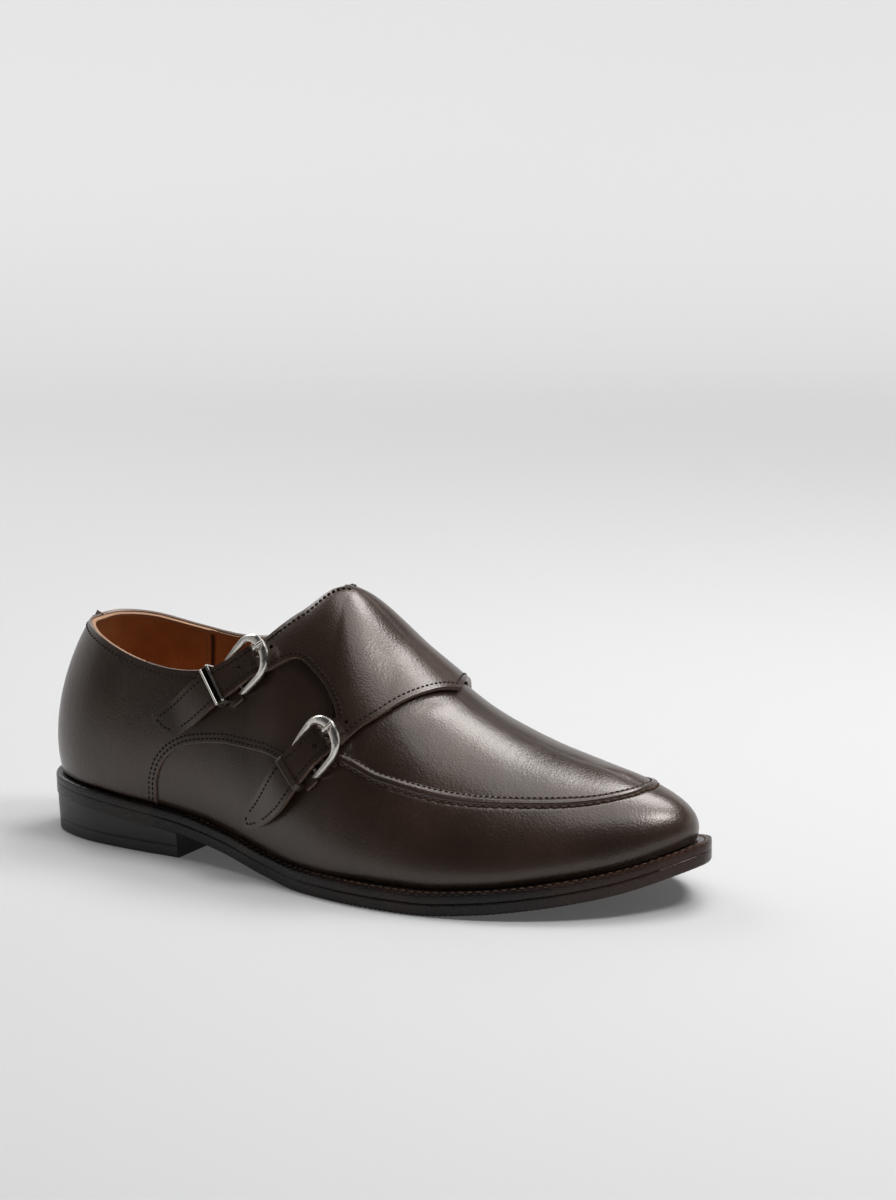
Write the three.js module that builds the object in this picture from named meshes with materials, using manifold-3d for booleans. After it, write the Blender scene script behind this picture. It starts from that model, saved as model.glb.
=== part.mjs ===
// Double-buckle monk strap shoe for the right foot, about size EU 43.
// Millimetres; +X runs from heel to toe, -Y is the outer (lateral) side, +Z is up.
// While it is built, x = 0 is the heel's back end and z = 0 the floor; the last line moves the
// origin to the middle of the foot print, on the floor.
import * as THREE from 'three';
import { mergeVertices } from 'three/addons/utils/BufferGeometryUtils.js';
import Module from 'manifold-3d';

const wasm = await Module();
wasm.setup();

// ---------------------------------------------------------------- driving dimensions
const GAP = 0.3;                 // space kept between neighbouring pieces
const WALL = 2.2;                // upper leather and lining together
const OUTSOLE = 5.0;             // leather outsole
const WELT = 3.8;                // welt in front, rand round the heel
const WELT_REACH = 13;           // how far the welt runs in under the upper
const INSOLE = 3.0;
const LIFT = 5.0;                // top piece of the heel, on the floor
const HEEL_TAPER = 1.6;          // how much narrower the heel is at the floor, each side
const BREAST_X = 80;             // front face of the heel
const EDGE = OUTSOLE + GAP + WELT;
const STRAP = 2.0;               // instep flap and straps, one thickness of leather
const TAB = 1.3;                 // leather tab that holds a buckle's bar
const BAR = 1.6;                 // thickness of the buckle's bar and legs
const LIFT_OVER_BAR = 2.6;       // how far a strap is raised where it runs over the bar
const FRAME_REACH = 20;          // from the bar's middle to the frame's round front
const FRAME_HALF = 10;           // half the frame's width
const FRAME_INSIDE = 7.9;        // half the clear width between its legs
const FRAME_LEAN = 0.29;         // the frame leans: its bar lies low, its front rides on the strap
const FRAME_SEAT = 0.95;         // height of the bar over the upper
const PRONG_HOLE = 14;           // from the bar's middle forward to the prong's hole
const PRONG_RADIUS = 0.75;
const HOLE_RADIUS = 1.5;         // half the hole's width; it is a slot, longer along the strap
const HOLE_STRETCH = 1.8;
const STRAP_HALF = 7;            // half a strap's width
const STEPS_PER_ROW = 3;         // mesh rows between two ribs, and from foot to collar
const STEPS_UP = 11;

const LATERAL = -1;
const MEDIAL = 1;

function table(columns, rows) {
  return rows.map((row) => Object.fromEntries(columns.map((name, i) => [name, row[i]])));
}

// Plan of the outsole, from the heel's back end to the toe: half widths outward and inward.
const OUTLINE = table(['x', 'lat', 'med'], [
  [0, 0, 0],
  [3.5, 12.5, 12.5],
  [12, 21.5, 22],
  [30, 29, 30],
  [55, 32.5, 32],
  [80, 34, 31],
  [105, 38, 28.5],
  [130, 45, 29],
  [155, 53, 34],
  [180, 57.5, 41.5],
  [205, 57.8, 47.5],
  [230, 53, 49.5],
  [253, 44, 46.5],
  [272, 32.5, 39],
  [286, 20.5, 30.5],
  [295.5, 9, 20.5],
  [300.5, 1, 11.5],
  [302, -5, 5],
]);

// Height of the outsole's lower face: heel seat, waist, ball on the floor, toe spring.
const SOLE_LINE = table(['x', 'z'], [
  [0, 16.2],
  [25, 14.9],
  [50, 13.1],
  [80, 10.6],
  [105, 6.8],
  [130, 2.0],
  [150, 0],
  [178, 0],
  [206, 0],
  [230, 1.7],
  [255, 5.0],
  [278, 9.4],
  [302, 17.0],
]);

// Ribs of the last: each runs from the feather line (foot) up the wall to the collar's edge or,
// from the throat forward, to the middle of the instep and vamp.
const RIBS = table(['x', 'lat', 'med', 'topX', 'topLat', 'topMed', 'topZLat', 'topZMed'], [
  [3, 0, 0, 21, 0, 0, 92, 92],
  [8, 14, 14.5, 23.5, 11, 11, 91.5, 92],
  [23, 24, 25, 35, 20, 20.5, 87.5, 90],
  [45, 28.5, 29, 54.5, 25, 25.5, 81.5, 85.5],
  [70, 30.5, 28.5, 76, 27, 27, 78.5, 82.5],
  [95, 33.5, 26, 96, 26, 26.5, 80.5, 84.5],
  [120, 39.5, 25, 115, 21.5, 22.5, 90, 92],
  [143, 46.5, 28.5, 132, 12.5, 14.5, 103, 103.5],
  [165, 51.5, 34.5, 145.5, -2.7, 2.7, 110.5, 110.5],
  [188, 53, 41, 171, -4.7, 4.7, 90, 90],
  [211, 51.5, 44.5, 197, -5.6, 5.6, 71, 71],
  [234, 46, 44, 222, -5.9, 5.9, 59.5, 59.5],
  [256, 36.5, 39, 244, -5.9, 5.9, 53, 53],
  [276, 24, 31, 258.5, -5.7, 5.7, 50, 50],
  [290.5, 9, 19.5, 265.5, -5.3, 5.3, 48, 48],
  [296.5, -5, 5, 268, -5, 5, 47.2, 47.2],
]);

// How full each rib is: bulge (outward) and rise (upward) leave the foot; forward, spread and
// drop lead away from the top.
const WALLS = table(['bulge', 'rise', 'forward', 'spread', 'drop'], [
  [5, 22, -12, 0, 17],
  [5, 22, -9, 5, 17],
  [4.5, 22, -4, 5, 18],
  [4, 20, -2, 3, 18],
  [4, 18, 0, 4, 18],
  [5, 17, 0, 7, 16],
  [5, 19, 1, 13, 17],
  [5, 22, 3, 19, 13],
  [5, 25, 4, 22, 2],
  [5, 22, 5, 26, 3],
  [5, 19, 6, 28, 4],
  [4.5, 16, 6, 29, 3.5],
  [4.5, 14, 12, 24, 4],
  [4, 13, 16, 16, 4],
  [4, 12, 19, 8, 4],
  [4, 12, 20, 0, 4],
]);
const LAST_RIB = RIBS.length - 1;
const THROAT = 8;                // rib at which the collar's two edges meet

// Smooth curve through a table's rows. Past either end the rows come back with their two sides
// swapped, which closes heel and toe round the middle line.
function sample(rows, s, read) {
  const last = rows.length - 1;
  const i = Math.min(Math.max(Math.floor(s), -1), last);
  const f = s - i;
  const pick = (k) => {
    if (k < 0) return read(rows[-k], true);
    if (k > last) return read(rows[2 * last - k], true);
    return read(rows[k], false);
  };
  const [a, b, c, d] = [pick(i - 1), pick(i), pick(i + 1), pick(i + 2)];
  const [square, cube] = [2 * a - 5 * b + 4 * c - d, 3 * b - a - 3 * c + d];
  return 0.5 * (2 * b + (c - a) * f + square * f * f + cube * f ** 3);
}

function across(rows, s, side, lat, med) {
  return sample(rows, s, (row, flipped) => {
    const outer = (side === LATERAL) !== flipped;
    return outer ? -row[lat] : row[med];
  });
}

// Height of the outsole's lower face at x: monotone curve through SOLE_LINE.
function soleZ(x) {
  const rows = SOLE_LINE;
  let k = 0;
  while (k < rows.length - 2 && x > rows[k + 1].x) k += 1;
  const slope = (i) => (rows[i + 1].z - rows[i].z) / (rows[i + 1].x - rows[i].x);
  const tangent = (i) => {
    if (i === 0) return slope(0);
    if (i === rows.length - 1) return slope(i - 1);
    const [p, q] = [slope(i - 1), slope(i)];
    return p * q <= 0 ? 0 : (2 * p * q) / (p + q);
  };
  const h = rows[k + 1].x - rows[k].x;
  const u = (x - rows[k].x) / h;
  const keep = (1 + 2 * u) * (1 - u) ** 2;
  const leave = u * (1 - u) ** 2;
  const arrive = u * u * (u - 1);
  const bend = leave * tangent(k) + arrive * tangent(k + 1);
  return keep * rows[k].z + (1 - keep) * rows[k + 1].z + h * bend;
}

// Point of a plan outline, moved inward by inset.
function planPoint(rows, s, side, inset) {
  const x = (u) => sample(rows, u, (row) => row.x);
  const y = (u) => across(rows, u, side, 'lat', 'med');
  const d = 0.02;
  const along = new THREE.Vector2(x(s + d) - x(s - d), y(s + d) - y(s - d)).normalize();
  return new THREE.Vector2(x(s) + side * along.y * inset, y(s) - side * along.x * inset);
}

// Top end of a rib: on the collar's edge of its own side or, from the throat on, on the middle line.
function topPoint(side, s) {
  const lateral = (row, flipped) => (side === LATERAL) !== flipped;
  const y = (row, flipped) => (lateral(row, flipped) ? -row.topLat : row.topMed);
  const z = (row, flipped) => (lateral(row, flipped) ? row.topZLat : row.topZMed);
  const middle = s >= THROAT;
  return new THREE.Vector3(
    sample(RIBS, s, (row) => row.topX),
    sample(RIBS, s, middle ? (row) => (row.topMed - row.topLat) / 2 : y),
    sample(RIBS, s, middle ? (row) => (row.topZLat + row.topZMed) / 2 : z),
  );
}

// Point of the upper's outer face: s counts the ribs from heel to toe, t runs from foot to top.
function lastPoint(side, s, t) {
  const foot = planPoint(RIBS, s, side, 0);
  const base = new THREE.Vector3(foot.x, foot.y, soleZ(foot.x) + EDGE + GAP);
  const wall = (name) => sample(WALLS, s, (row) => row[name]);
  const out = planPoint(RIBS, s, side, -wall('bulge'));
  const spread = sample(WALLS, s, (row, flipped) => (flipped ? -side : side) * row.spread);
  const top = topPoint(side, s);
  const low = new THREE.Vector3(out.x, out.y, base.z + wall('rise'));
  const high = new THREE.Vector3(top.x + wall('forward'), top.y + spread, top.z - wall('drop'));
  return new THREE.CubicBezierCurve3(base, low, high, top).getPoint(t);
}

// ---------------------------------------------------------------- meshes
class Surface {
  constructor() {
    this.points = [];
    this.faces = [];
  }

  // Adds a grid of points as one sheet; turned sheets face the other way.
  sheet(grid, turned) {
    const start = this.points.length;
    const columns = grid[0].length;
    grid.flat().forEach((point) => this.points.push(point));
    for (let i = 0; i < grid.length - 1; i += 1) {
      for (let j = 0; j < columns - 1; j += 1) {
        const a = start + i * columns + j;
        const quad = [a, a + columns, a + columns + 1, a + 1];
        if (turned) quad.reverse();
        this.faces.push([quad[0], quad[1], quad[2]], [quad[0], quad[2], quad[3]]);
      }
    }
    return this;
  }

  // Joins points that coincide and drops faces that have shrunk to a line.
  geometry() {
    const loose = new THREE.BufferGeometry();
    loose.setAttribute('position', new THREE.Float32BufferAttribute(
      this.points.flatMap((p) => [p.x, p.y, p.z]), 3));
    loose.setIndex(this.faces.flat());
    const merged = mergeVertices(loose, 1e-3);
    const index = Array.from(merged.index.array);
    const kept = [];
    for (let i = 0; i < index.length; i += 3) {
      const [a, b, c] = index.slice(i, i + 3);
      if (a !== b && b !== c && c !== a) kept.push(a, b, c);
    }
    merged.setIndex(kept);
    merged.computeVertexNormals();
    return merged;
  }
}

// Turns an open sheet into a solid: one face at inner, one at outer along the normals, and a
// wall along every free edge. Points that level() picks keep their height; raise() lifts both faces.
function thicken(geometry, inner, outer, { level = () => false, raise = () => 0 } = {}) {
  const points = geometry.attributes.position;
  const normals = geometry.attributes.normal;
  const index = Array.from(geometry.index.array);
  const count = points.count;
  const vertices = [];
  [outer, inner].forEach((offset) => {
    for (let i = 0; i < count; i += 1) {
      const p = new THREE.Vector3().fromBufferAttribute(points, i);
      const n = new THREE.Vector3().fromBufferAttribute(normals, i);
      if (level(p)) n.setZ(0).normalize();
      vertices.push(p.addScaledVector(n, offset + raise(p)));
    }
  });
  const used = new Set();
  const faces = [];
  for (let i = 0; i < index.length; i += 3) {
    const [a, b, c] = index.slice(i, i + 3);
    [[a, b], [b, c], [c, a]].forEach(([p, q]) => used.add(`${p} ${q}`));
    faces.push(a, b, c, a + count, c + count, b + count);
  }
  used.forEach((edge) => {
    const [p, q] = edge.split(' ').map(Number);
    if (!used.has(`${q} ${p}`)) faces.push(q, p, p + count, q, p + count, q + count);
  });
  return closed(vertices, faces);
}

function closed(vertices, faces) {
  const solid = new THREE.BufferGeometry();
  solid.setAttribute('position', new THREE.Float32BufferAttribute(
    vertices.flatMap((p) => [p.x, p.y, p.z]), 3));
  solid.setIndex(faces);
  solid.computeVertexNormals();
  return solid;
}

// A layer between two plan outlines: stations pair a lateral with a medial point, and the ends
// close by themselves where a pair meets or with a flat face where it doesn't.
function slab(stations, low, high) {
  const corner = (point, z) => new THREE.Vector3(point.x, point.y, z(point.x));
  const rings = stations.map(({ bottom, top }) => [
    corner(bottom[0], low), corner(bottom[1], low), corner(top[1], high), corner(top[0], high),
    corner(bottom[0], low),
  ]);
  const surface = new Surface().sheet(rings, true);
  [[rings[0], false], [rings.at(-1), true]].forEach(([ring, turned]) => {
    surface.sheet([[ring[0], ring[1]], [ring[3], ring[2]]], turned);
  });
  return surface.geometry();
}

function pairs(rows, from, to, steps, bottomInset, topInset) {
  return Array.from({ length: steps + 1 }, (_, k) => {
    const s = from + ((to - from) * k) / steps;
    const pair = (inset) => [LATERAL, MEDIAL].map((side) => planPoint(rows, s, side, inset));
    return { bottom: pair(bottomInset), top: pair(topInset) };
  });
}

// ---------------------------------------------------------------- pieces
const LAST_STATION = OUTLINE.length - 1;
const HEEL_END = OUTLINE.findIndex((row) => row.x === BREAST_X);

function outsole() {
  const stations = pairs(OUTLINE, 0, LAST_STATION, LAST_STATION * 3, 0.4, 0);
  return slab(stations, soleZ, (x) => soleZ(x) + OUTSOLE);
}

// A flat ring on the outsole, its outer edge flush with it, its inner edge under the upper.
function welt() {
  const low = (x) => soleZ(x) + OUTSOLE + GAP;
  const around = [];
  const steps = LAST_STATION * 3;
  for (let k = 0; k < 2 * steps; k += 1) {
    const side = k < steps ? LATERAL : MEDIAL;
    const s = (k < steps ? k : 2 * steps - k) / 3;
    const [outer, crown, inner] = [0, 0.8, WELT_REACH].map((inset) => planPoint(OUTLINE, s, side, inset));
    const at = (p, rise) => new THREE.Vector3(p.x, p.y, low(p.x) + rise);
    around.push([
      at(outer, 0), at(outer, WELT - 0.8), at(crown, WELT), at(inner, WELT), at(inner, 0), at(outer, 0),
    ]);
  }
  around.push(around[0]);
  return new Surface().sheet(around, false).geometry();
}

function heelStack() {
  const stations = pairs(OUTLINE, 0, HEEL_END, HEEL_END * 3, HEEL_TAPER * 0.7, 0.6);
  return slab(stations, () => LIFT, (x) => soleZ(x) - GAP);
}

function topLift() {
  const stations = pairs(OUTLINE, 0, HEEL_END, HEEL_END * 3, HEEL_TAPER, HEEL_TAPER * 0.7);
  return slab(stations, () => 0, () => LIFT - GAP);
}

function insole() {
  const inset = WALL + 0.6;
  const stations = pairs(RIBS, 0, LAST_RIB, LAST_RIB * 3, inset, inset);
  const low = (x) => soleZ(x) + EDGE + GAP;
  return slab(stations, low, (x) => low(x) + INSOLE);
}

// The outer face of the upper over a range of ribs, both sides joined along the middle line.
function lastSurface() {
  const surface = new Surface();
  [LATERAL, MEDIAL].forEach((side) => {
    const grid = [];
    for (let i = 0; i <= LAST_RIB * STEPS_PER_ROW; i += 1) {
      const s = i / STEPS_PER_ROW;
      const row = [];
      for (let j = 0; j <= STEPS_UP; j += 1) {
        const shared = s === 0 || s === LAST_RIB || (j === STEPS_UP && s >= THROAT);
        row.push(lastPoint(shared ? LATERAL : side, s, j / STEPS_UP));
      }
      grid.push(row);
    }
    surface.sheet(grid, side === MEDIAL);
  });
  return surface.geometry();
}

function upper() {
  const onFoot = (p) => Math.abs(p.z - (soleZ(p.x) + EDGE + GAP)) < 0.01;
  return thicken(lastSurface(), -WALL, 0, { level: onFoot });
}

// Edges of the instep flap and its straps as few points on the last: s counts ribs, t goes up.
const onLast = (rows) => table(['s', 't'], rows);
const FLAP = {
  rootUpper: onLast([[6.5, 1], [6.62, 0.89], [6.67, 0.78]]),
  window: onLast([[6.67, 0.78], [7.12, 0.75], [7.64, 0.63], [8.09, 0.54], [8.21, 0.5]]),
  rootLower: onLast([[8.21, 0.5], [8.27, 0.47], [8.33, 0.44]]),
  crest: onLast([[8, 1], [9.84, 1]]),
  collarOuter: onLast([[6.5, 1], [8, 1]]),
  frontOuter: onLast([[8.33, 0.44], [8.55, 0.5], [8.99, 0.63], [9.44, 0.8], [9.84, 1]]),
  hemInner: onLast([[5.3, 1], [5.6, 0.62], [6.2, 0.4], [7, 0.33], [8.06, 0.3], [8.57, 0.33]]),
  collarInner: onLast([[5.3, 1], [8, 1]]),
  frontInner: onLast([[8.57, 0.33], [8.93, 0.46], [9.14, 0.59], [9.38, 0.73], [9.84, 1]]),
};
const STRAPS = {
  upper: {
    root: FLAP.rootUpper,
    above: onLast([
      [6.5, 1], [6, 0.985], [5.6, 0.975], [5.2, 0.97], [4.93, 0.945], [4.51, 0.865], [3.79, 0.65],
    ]),
    below: onLast([[6.67, 0.78], [6.07, 0.785], [5.56, 0.745], [5.11, 0.685], [4.42, 0.55]]),
    end: onLast([[3.79, 0.65], [3.88, 0.6], [4.15, 0.55], [4.42, 0.55]]),
  },
  lower: {
    root: FLAP.rootLower,
    above: onLast([[8.21, 0.5], [7.9, 0.465], [7.39, 0.438], [6.91, 0.395], [6.12, 0.22]]),
    below: onLast([[8.33, 0.44], [8.1, 0.392], [7.79, 0.352], [7.33, 0.285], [6.5, 0.16]]),
    end: onLast([[6.12, 0.22], [6.05, 0.17], [6.15, 0.125], [6.5, 0.16]]),
  },
};

// Evenly spaced points on a smooth edge; t counts four times, as a rib is about four ribs' gaps tall.
function along(rows, steps) {
  const curve = new THREE.SplineCurve(rows.map(({ s, t }) => new THREE.Vector2(s, 4 * t)));
  return Array.from({ length: steps + 1 }, (_, k) => {
    const point = curve.getPointAt(k / steps);
    return new THREE.Vector2(point.x, Math.min(point.y / 4, 1));
  });
}

// Fills the space between four edges: sides run from near to far, and meet them at the corners.
function fill(near, far, first, last) {
  return first.map((left, i) => {
    const v = i / (first.length - 1);
    return near.map((start, j) => {
      const u = j / (near.length - 1);
      const blend = (k) => (1 - v) * start[k] + v * far[j][k] + (1 - u) * left[k] + u * last[i][k]
        - (1 - v) * ((1 - u) * near[0][k] + u * near.at(-1)[k])
        - v * ((1 - u) * far[0][k] + u * far.at(-1)[k]);
      return new THREE.Vector2(blend('x'), blend('y'));
    });
  });
}

// Lays a grid of (s, t) places on the last as a sheet that faces outward.
function lay(surface, side, grid) {
  const i = Math.floor(grid.length / 2);
  const j = Math.floor(grid[0].length / 2);
  const alongRow = grid[i][j].clone().sub(grid[i][j - 1]);
  const down = grid[i][j].clone().sub(grid[i - 1][j]);
  const turned = (down.cross(alongRow) < 0) !== (side === MEDIAL);
  surface.sheet(grid.map((row) => row.map(({ x, y }) => {
    const shared = y > 0.9999 && x >= THROAT;
    return lastPoint(shared ? LATERAL : side, x, y);
  })), turned);
}

// Places of the two buckles on the outer side: middle of the bar and the strap's direction.
const BUCKLES = {
  upper: { x: 109.8, z: 78.8, angle: 40 },
  lower: { x: 151.7, z: 52.2, angle: 46 },
};

// Distance q along a strap from its bar, forward positive, and v across it, for a place (x, z).
function strapPlace(buckle, x, z) {
  const angle = THREE.MathUtils.degToRad(buckle.angle);
  const [dx, dz] = [x - buckle.x, z - buckle.z];
  return {
    q: dx * Math.cos(angle) + dz * Math.sin(angle),
    v: dz * Math.cos(angle) - dx * Math.sin(angle),
  };
}

// Rise of a strap over its tab, bar and prong: full from the keeper to past the bar, little under
// the frame's front and none at the strap's end.
function strapRise(p) {
  if (p.y > 0) return 0;
  const { smoothstep } = THREE.MathUtils;
  return Math.max(...Object.values(BUCKLES).map((buckle) => {
    const { q, v } = strapPlace(buckle, p.x, p.z);
    if (Math.abs(v) > 13) return 0;
    return LIFT_OVER_BAR * smoothstep(q, -26, -14) * (1 - smoothstep(q, PRONG_HOLE - 4.7, PRONG_HOLE + 1.4));
  }));
}

function instepFlap() {
  const surface = new Surface();
  const [rootSteps, windowSteps, rows, length] = [4, 8, 13, 20];
  const hem = rootSteps * 2 + windowSteps;
  const rootLine = [
    ...along(FLAP.rootUpper, rootSteps),
    ...along(FLAP.window, windowSteps).slice(1),
    ...along(FLAP.rootLower, rootSteps).slice(1),
  ];
  const crest = along(FLAP.crest, hem);
  lay(surface, LATERAL, fill(rootLine, crest, along(FLAP.collarOuter, rows), along(FLAP.frontOuter, rows)));
  const inner = along(FLAP.hemInner, hem);
  lay(surface, MEDIAL, fill(inner, crest, along(FLAP.collarInner, rows), along(FLAP.frontInner, rows)));
  Object.values(STRAPS).forEach(({ root, above, below, end }) => {
    const start = along(root, rootSteps);
    lay(surface, LATERAL, fill(start, along(end, rootSteps), along(above, length), along(below, length)));
  });
  const leather = toSolid(thicken(surface.geometry(), GAP, GAP + STRAP, { raise: strapRise }));
  const punched = Object.values(BUCKLES).reduce((strap, buckle) => {
    const hole = new THREE.CylinderGeometry(HOLE_RADIUS, HOLE_RADIUS, 12, 10)
      .rotateX(Math.PI / 2)
      .scale(HOLE_STRETCH, 1, 1)
      .translate(PRONG_HOLE, 0, 3);
    return strap.subtract(toSolid(onBuckle(buckle, hole)));
  }, leather);
  return fromSolid(punched);
}

// ---------------------------------------------------------------- buckles
function toSolid(geometry) {
  const merged = welded(geometry);
  return new wasm.Manifold(new wasm.Mesh({
    numProp: 3,
    vertProperties: merged.attributes.position.array,
    triVerts: Uint32Array.from(merged.index.array),
  }));
}

function fromSolid(solid) {
  const { vertProperties, triVerts } = solid.getMesh();
  const geometry = new THREE.BufferGeometry();
  geometry.setAttribute('position', new THREE.BufferAttribute(vertProperties, 3));
  geometry.setIndex(Array.from(triVerts));
  geometry.computeVertexNormals();
  return geometry;
}

function welded(geometry) {
  const plain = geometry.clone();
  Object.keys(plain.attributes)
    .filter((name) => name !== 'position')
    .forEach((name) => plain.deleteAttribute(name));
  return mergeVertices(plain, 1e-4);
}

// Finds the place on the last's outer side that is seen at (x, z) from the side.
function seat(x, z) {
  let s = RIBS.findIndex((row) => (row.x + row.topX) / 2 > x);
  let t = 0.5;
  const d = 1e-3;
  for (let k = 0; k < 20; k += 1) {
    const p = lastPoint(LATERAL, s, t);
    const ps = lastPoint(LATERAL, s + d, t).sub(p).divideScalar(d);
    const pt = lastPoint(LATERAL, s, t + d).sub(p).divideScalar(d);
    const det = ps.x * pt.z - ps.z * pt.x;
    s += ((x - p.x) * pt.z - (z - p.z) * pt.x) / det;
    t += ((z - p.z) * ps.x - (x - p.x) * ps.z) / det;
  }
  return lastPoint(LATERAL, s, t);
}

// Moves a shape drawn at a buckle's bar, x forward along the strap, y across it and z outward,
// to its place on the shoe, or to a place further back along the strap.
function onBuckle(buckle, geometry, place = 0, shift = 0) {
  const angle = THREE.MathUtils.degToRad(buckle.angle);
  const at = (q, v) => seat(
    buckle.x + q * Math.cos(angle) - v * Math.sin(angle),
    buckle.z + q * Math.sin(angle) + v * Math.cos(angle),
  );
  const ahead = place === 0 ? 9 : 3;
  const forward = at(place + ahead, shift).sub(at(place - 3, shift)).normalize();
  const up = at(place, shift + 5).sub(at(place, shift - 8)).normalize();
  const outward = forward.clone().cross(up).normalize();
  const across = outward.clone().cross(forward);
  return geometry.applyMatrix4(
    new THREE.Matrix4().makeBasis(forward, across, outward).setPosition(at(place, shift)));
}

// Horseshoe frame: a round front over the strap, two tapering legs beside it and the bar beneath.
function buckleFrame(buckle) {
  const shape = new THREE.Shape();
  const round = FRAME_REACH - FRAME_HALF;
  shape.moveTo(-1.2, -FRAME_HALF + 1);
  shape.quadraticCurveTo(round - 4, -FRAME_HALF, round, -FRAME_HALF);
  shape.absarc(round, 0, FRAME_HALF, -Math.PI / 2, Math.PI / 2, false);
  shape.quadraticCurveTo(round - 4, FRAME_HALF, -1.2, FRAME_HALF - 1);
  shape.closePath();
  const inside = new THREE.Path();
  inside.moveTo(0.6, -FRAME_INSIDE + 0.3);
  inside.lineTo(0.6, FRAME_INSIDE - 0.3);
  inside.lineTo(round - 1, FRAME_INSIDE);
  inside.absellipse(round - 1, 0, FRAME_HALF - 3.2, FRAME_INSIDE, Math.PI / 2, -Math.PI / 2, true, 0);
  inside.closePath();
  shape.holes.push(inside);
  const bevel = 0.4;
  const plate = new THREE.ExtrudeGeometry(shape, {
    depth: BAR - 2 * bevel, curveSegments: 9, bevelEnabled: true, bevelThickness: bevel,
    bevelSize: bevel, bevelOffset: -bevel, bevelSegments: 1,
  });
  plate.translate(0, 0, bevel).rotateY(-FRAME_LEAN).translate(0, 0, FRAME_SEAT);
  return welded(onBuckle(buckle, plate));
}

// Prong: from the bar forward under the strap, up through its hole and onto the frame's front.
function buckleProng(buckle) {
  const front = FRAME_REACH - 0.6;
  const top = FRAME_SEAT + front * Math.sin(FRAME_LEAN) + BAR + 1.15;
  const path = new THREE.CatmullRomCurve3([
    [1.9, 1.75],
    [PRONG_HOLE - 3.4, 1.3],
    [PRONG_HOLE - 1.4, 1.5],
    [PRONG_HOLE - 0.3, 4.2],
    [front - 4.6, top - 0.5],
    [front, top],
  ].map(([q, w]) => new THREE.Vector3(q, 0, w)));
  const section = new THREE.Shape().absarc(0, 0, PRONG_RADIUS, 0, 2 * Math.PI, false);
  const rod = new THREE.ExtrudeGeometry(section, {
    steps: 10, curveSegments: 4, bevelEnabled: false, extrudePath: path,
  });
  return welded(onBuckle(buckle, rod));
}

// Small leather tab under the strap, stitched to the quarter behind the bar.
function buckleTab(buckle) {
  const angle = THREE.MathUtils.degToRad(buckle.angle);
  const [from, to, low, high, steps] = [-6.7, -2, -9.6, 6, 4];
  const grid = [];
  for (let i = 0; i <= steps; i += 1) {
    const q = from + ((to - from) * i) / steps;
    const row = [];
    for (let j = 0; j <= steps; j += 1) {
      const v = low + ((high - low) * j) / steps;
      row.push(seat(
        buckle.x + q * Math.cos(angle) - v * Math.sin(angle),
        buckle.z + q * Math.sin(angle) + v * Math.cos(angle),
      ));
    }
    grid.push(row);
  }
  return thicken(new Surface().sheet(grid, false).geometry(), GAP, GAP + TAB);
}

// Loop round the strap behind the buckle: a rectangular band, its long sides across the strap.
function keeper(buckle, { place, shift, width, band }) {
  const [half, low, top] = [STRAP_HALF + 1.2, 0.5, GAP + LIFT_OVER_BAR + STRAP + 0.7];
  const rectangle = (path, w, h0, h1) => {
    path.moveTo(-w, h0);
    path.lineTo(w, h0);
    path.lineTo(w, h1);
    path.lineTo(-w, h1);
    path.closePath();
    return path;
  };
  const ring = rectangle(new THREE.Shape(), half + band, low, top + band);
  ring.holes.push(rectangle(new THREE.Path(), half, low + band, top));
  const loop = new THREE.ExtrudeGeometry(ring, { depth: width, bevelEnabled: false });
  loop.rotateY(Math.PI / 2).rotateX(Math.PI / 2).translate(-width / 2, 0, 0);
  return welded(onBuckle(buckle, loop, place, shift));
}

// ---------------------------------------------------------------- assembly
const LEATHER = { color: 0x2e211b, roughness: 0.38, metalness: 0 };
const SOLE_EDGE = { color: 0x1d1917, roughness: 0.45, metalness: 0 };
const LINING = { color: 0x9a5a2c, roughness: 0.7, metalness: 0 };
const METAL = { color: 0xb9b7b2, roughness: 0.2, metalness: 1 };

const shoe = new THREE.Group();

function add(name, geometry, finish) {
  const mesh = new THREE.Mesh(geometry, new THREE.MeshStandardMaterial(finish));
  mesh.name = name;
  shoe.add(mesh);
}

add('outsole', outsole(), SOLE_EDGE);
add('welt', welt(), SOLE_EDGE);
add('heel_stack', heelStack(), SOLE_EDGE);
add('top_lift', topLift(), { color: 0x141212, roughness: 0.6, metalness: 0 });
add('insole', insole(), LINING);
add('upper', upper(), LEATHER);
add('instep_flap', instepFlap(), LEATHER);
Object.entries(BUCKLES).forEach(([name, buckle]) => {
  add(`buckle_frame_${name}`, buckleFrame(buckle), METAL);
  add(`buckle_prong_${name}`, buckleProng(buckle), METAL);
  add(`buckle_tab_${name}`, buckleTab(buckle), LEATHER);
});
add('keeper_upper', keeper(BUCKLES.upper, { place: -9.9, shift: 1.5, width: 4.5, band: 0.9 }), METAL);
add('keeper_lower', keeper(BUCKLES.lower, { place: -8.9, shift: 0, width: 3.6, band: 1.1 }), LEATHER);

const box = new THREE.Box3().setFromObject(shoe);
shoe.position.set(-(box.min.x + box.max.x) / 2, -(box.min.y + box.max.y) / 2, -box.min.z);

export default shoe;
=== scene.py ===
# Double-buckle monk strap shoe for the right foot, standing empty on a pale floor.
# Shapes are worked out in millimetres, with x = 0 at the back of the heel, z = 0 on the floor and
# -y on the outer side, and are put into the frame's metres when their mesh is made.
import math
import bpy
import numpy as np
from mathutils import Matrix, Vector


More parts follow.
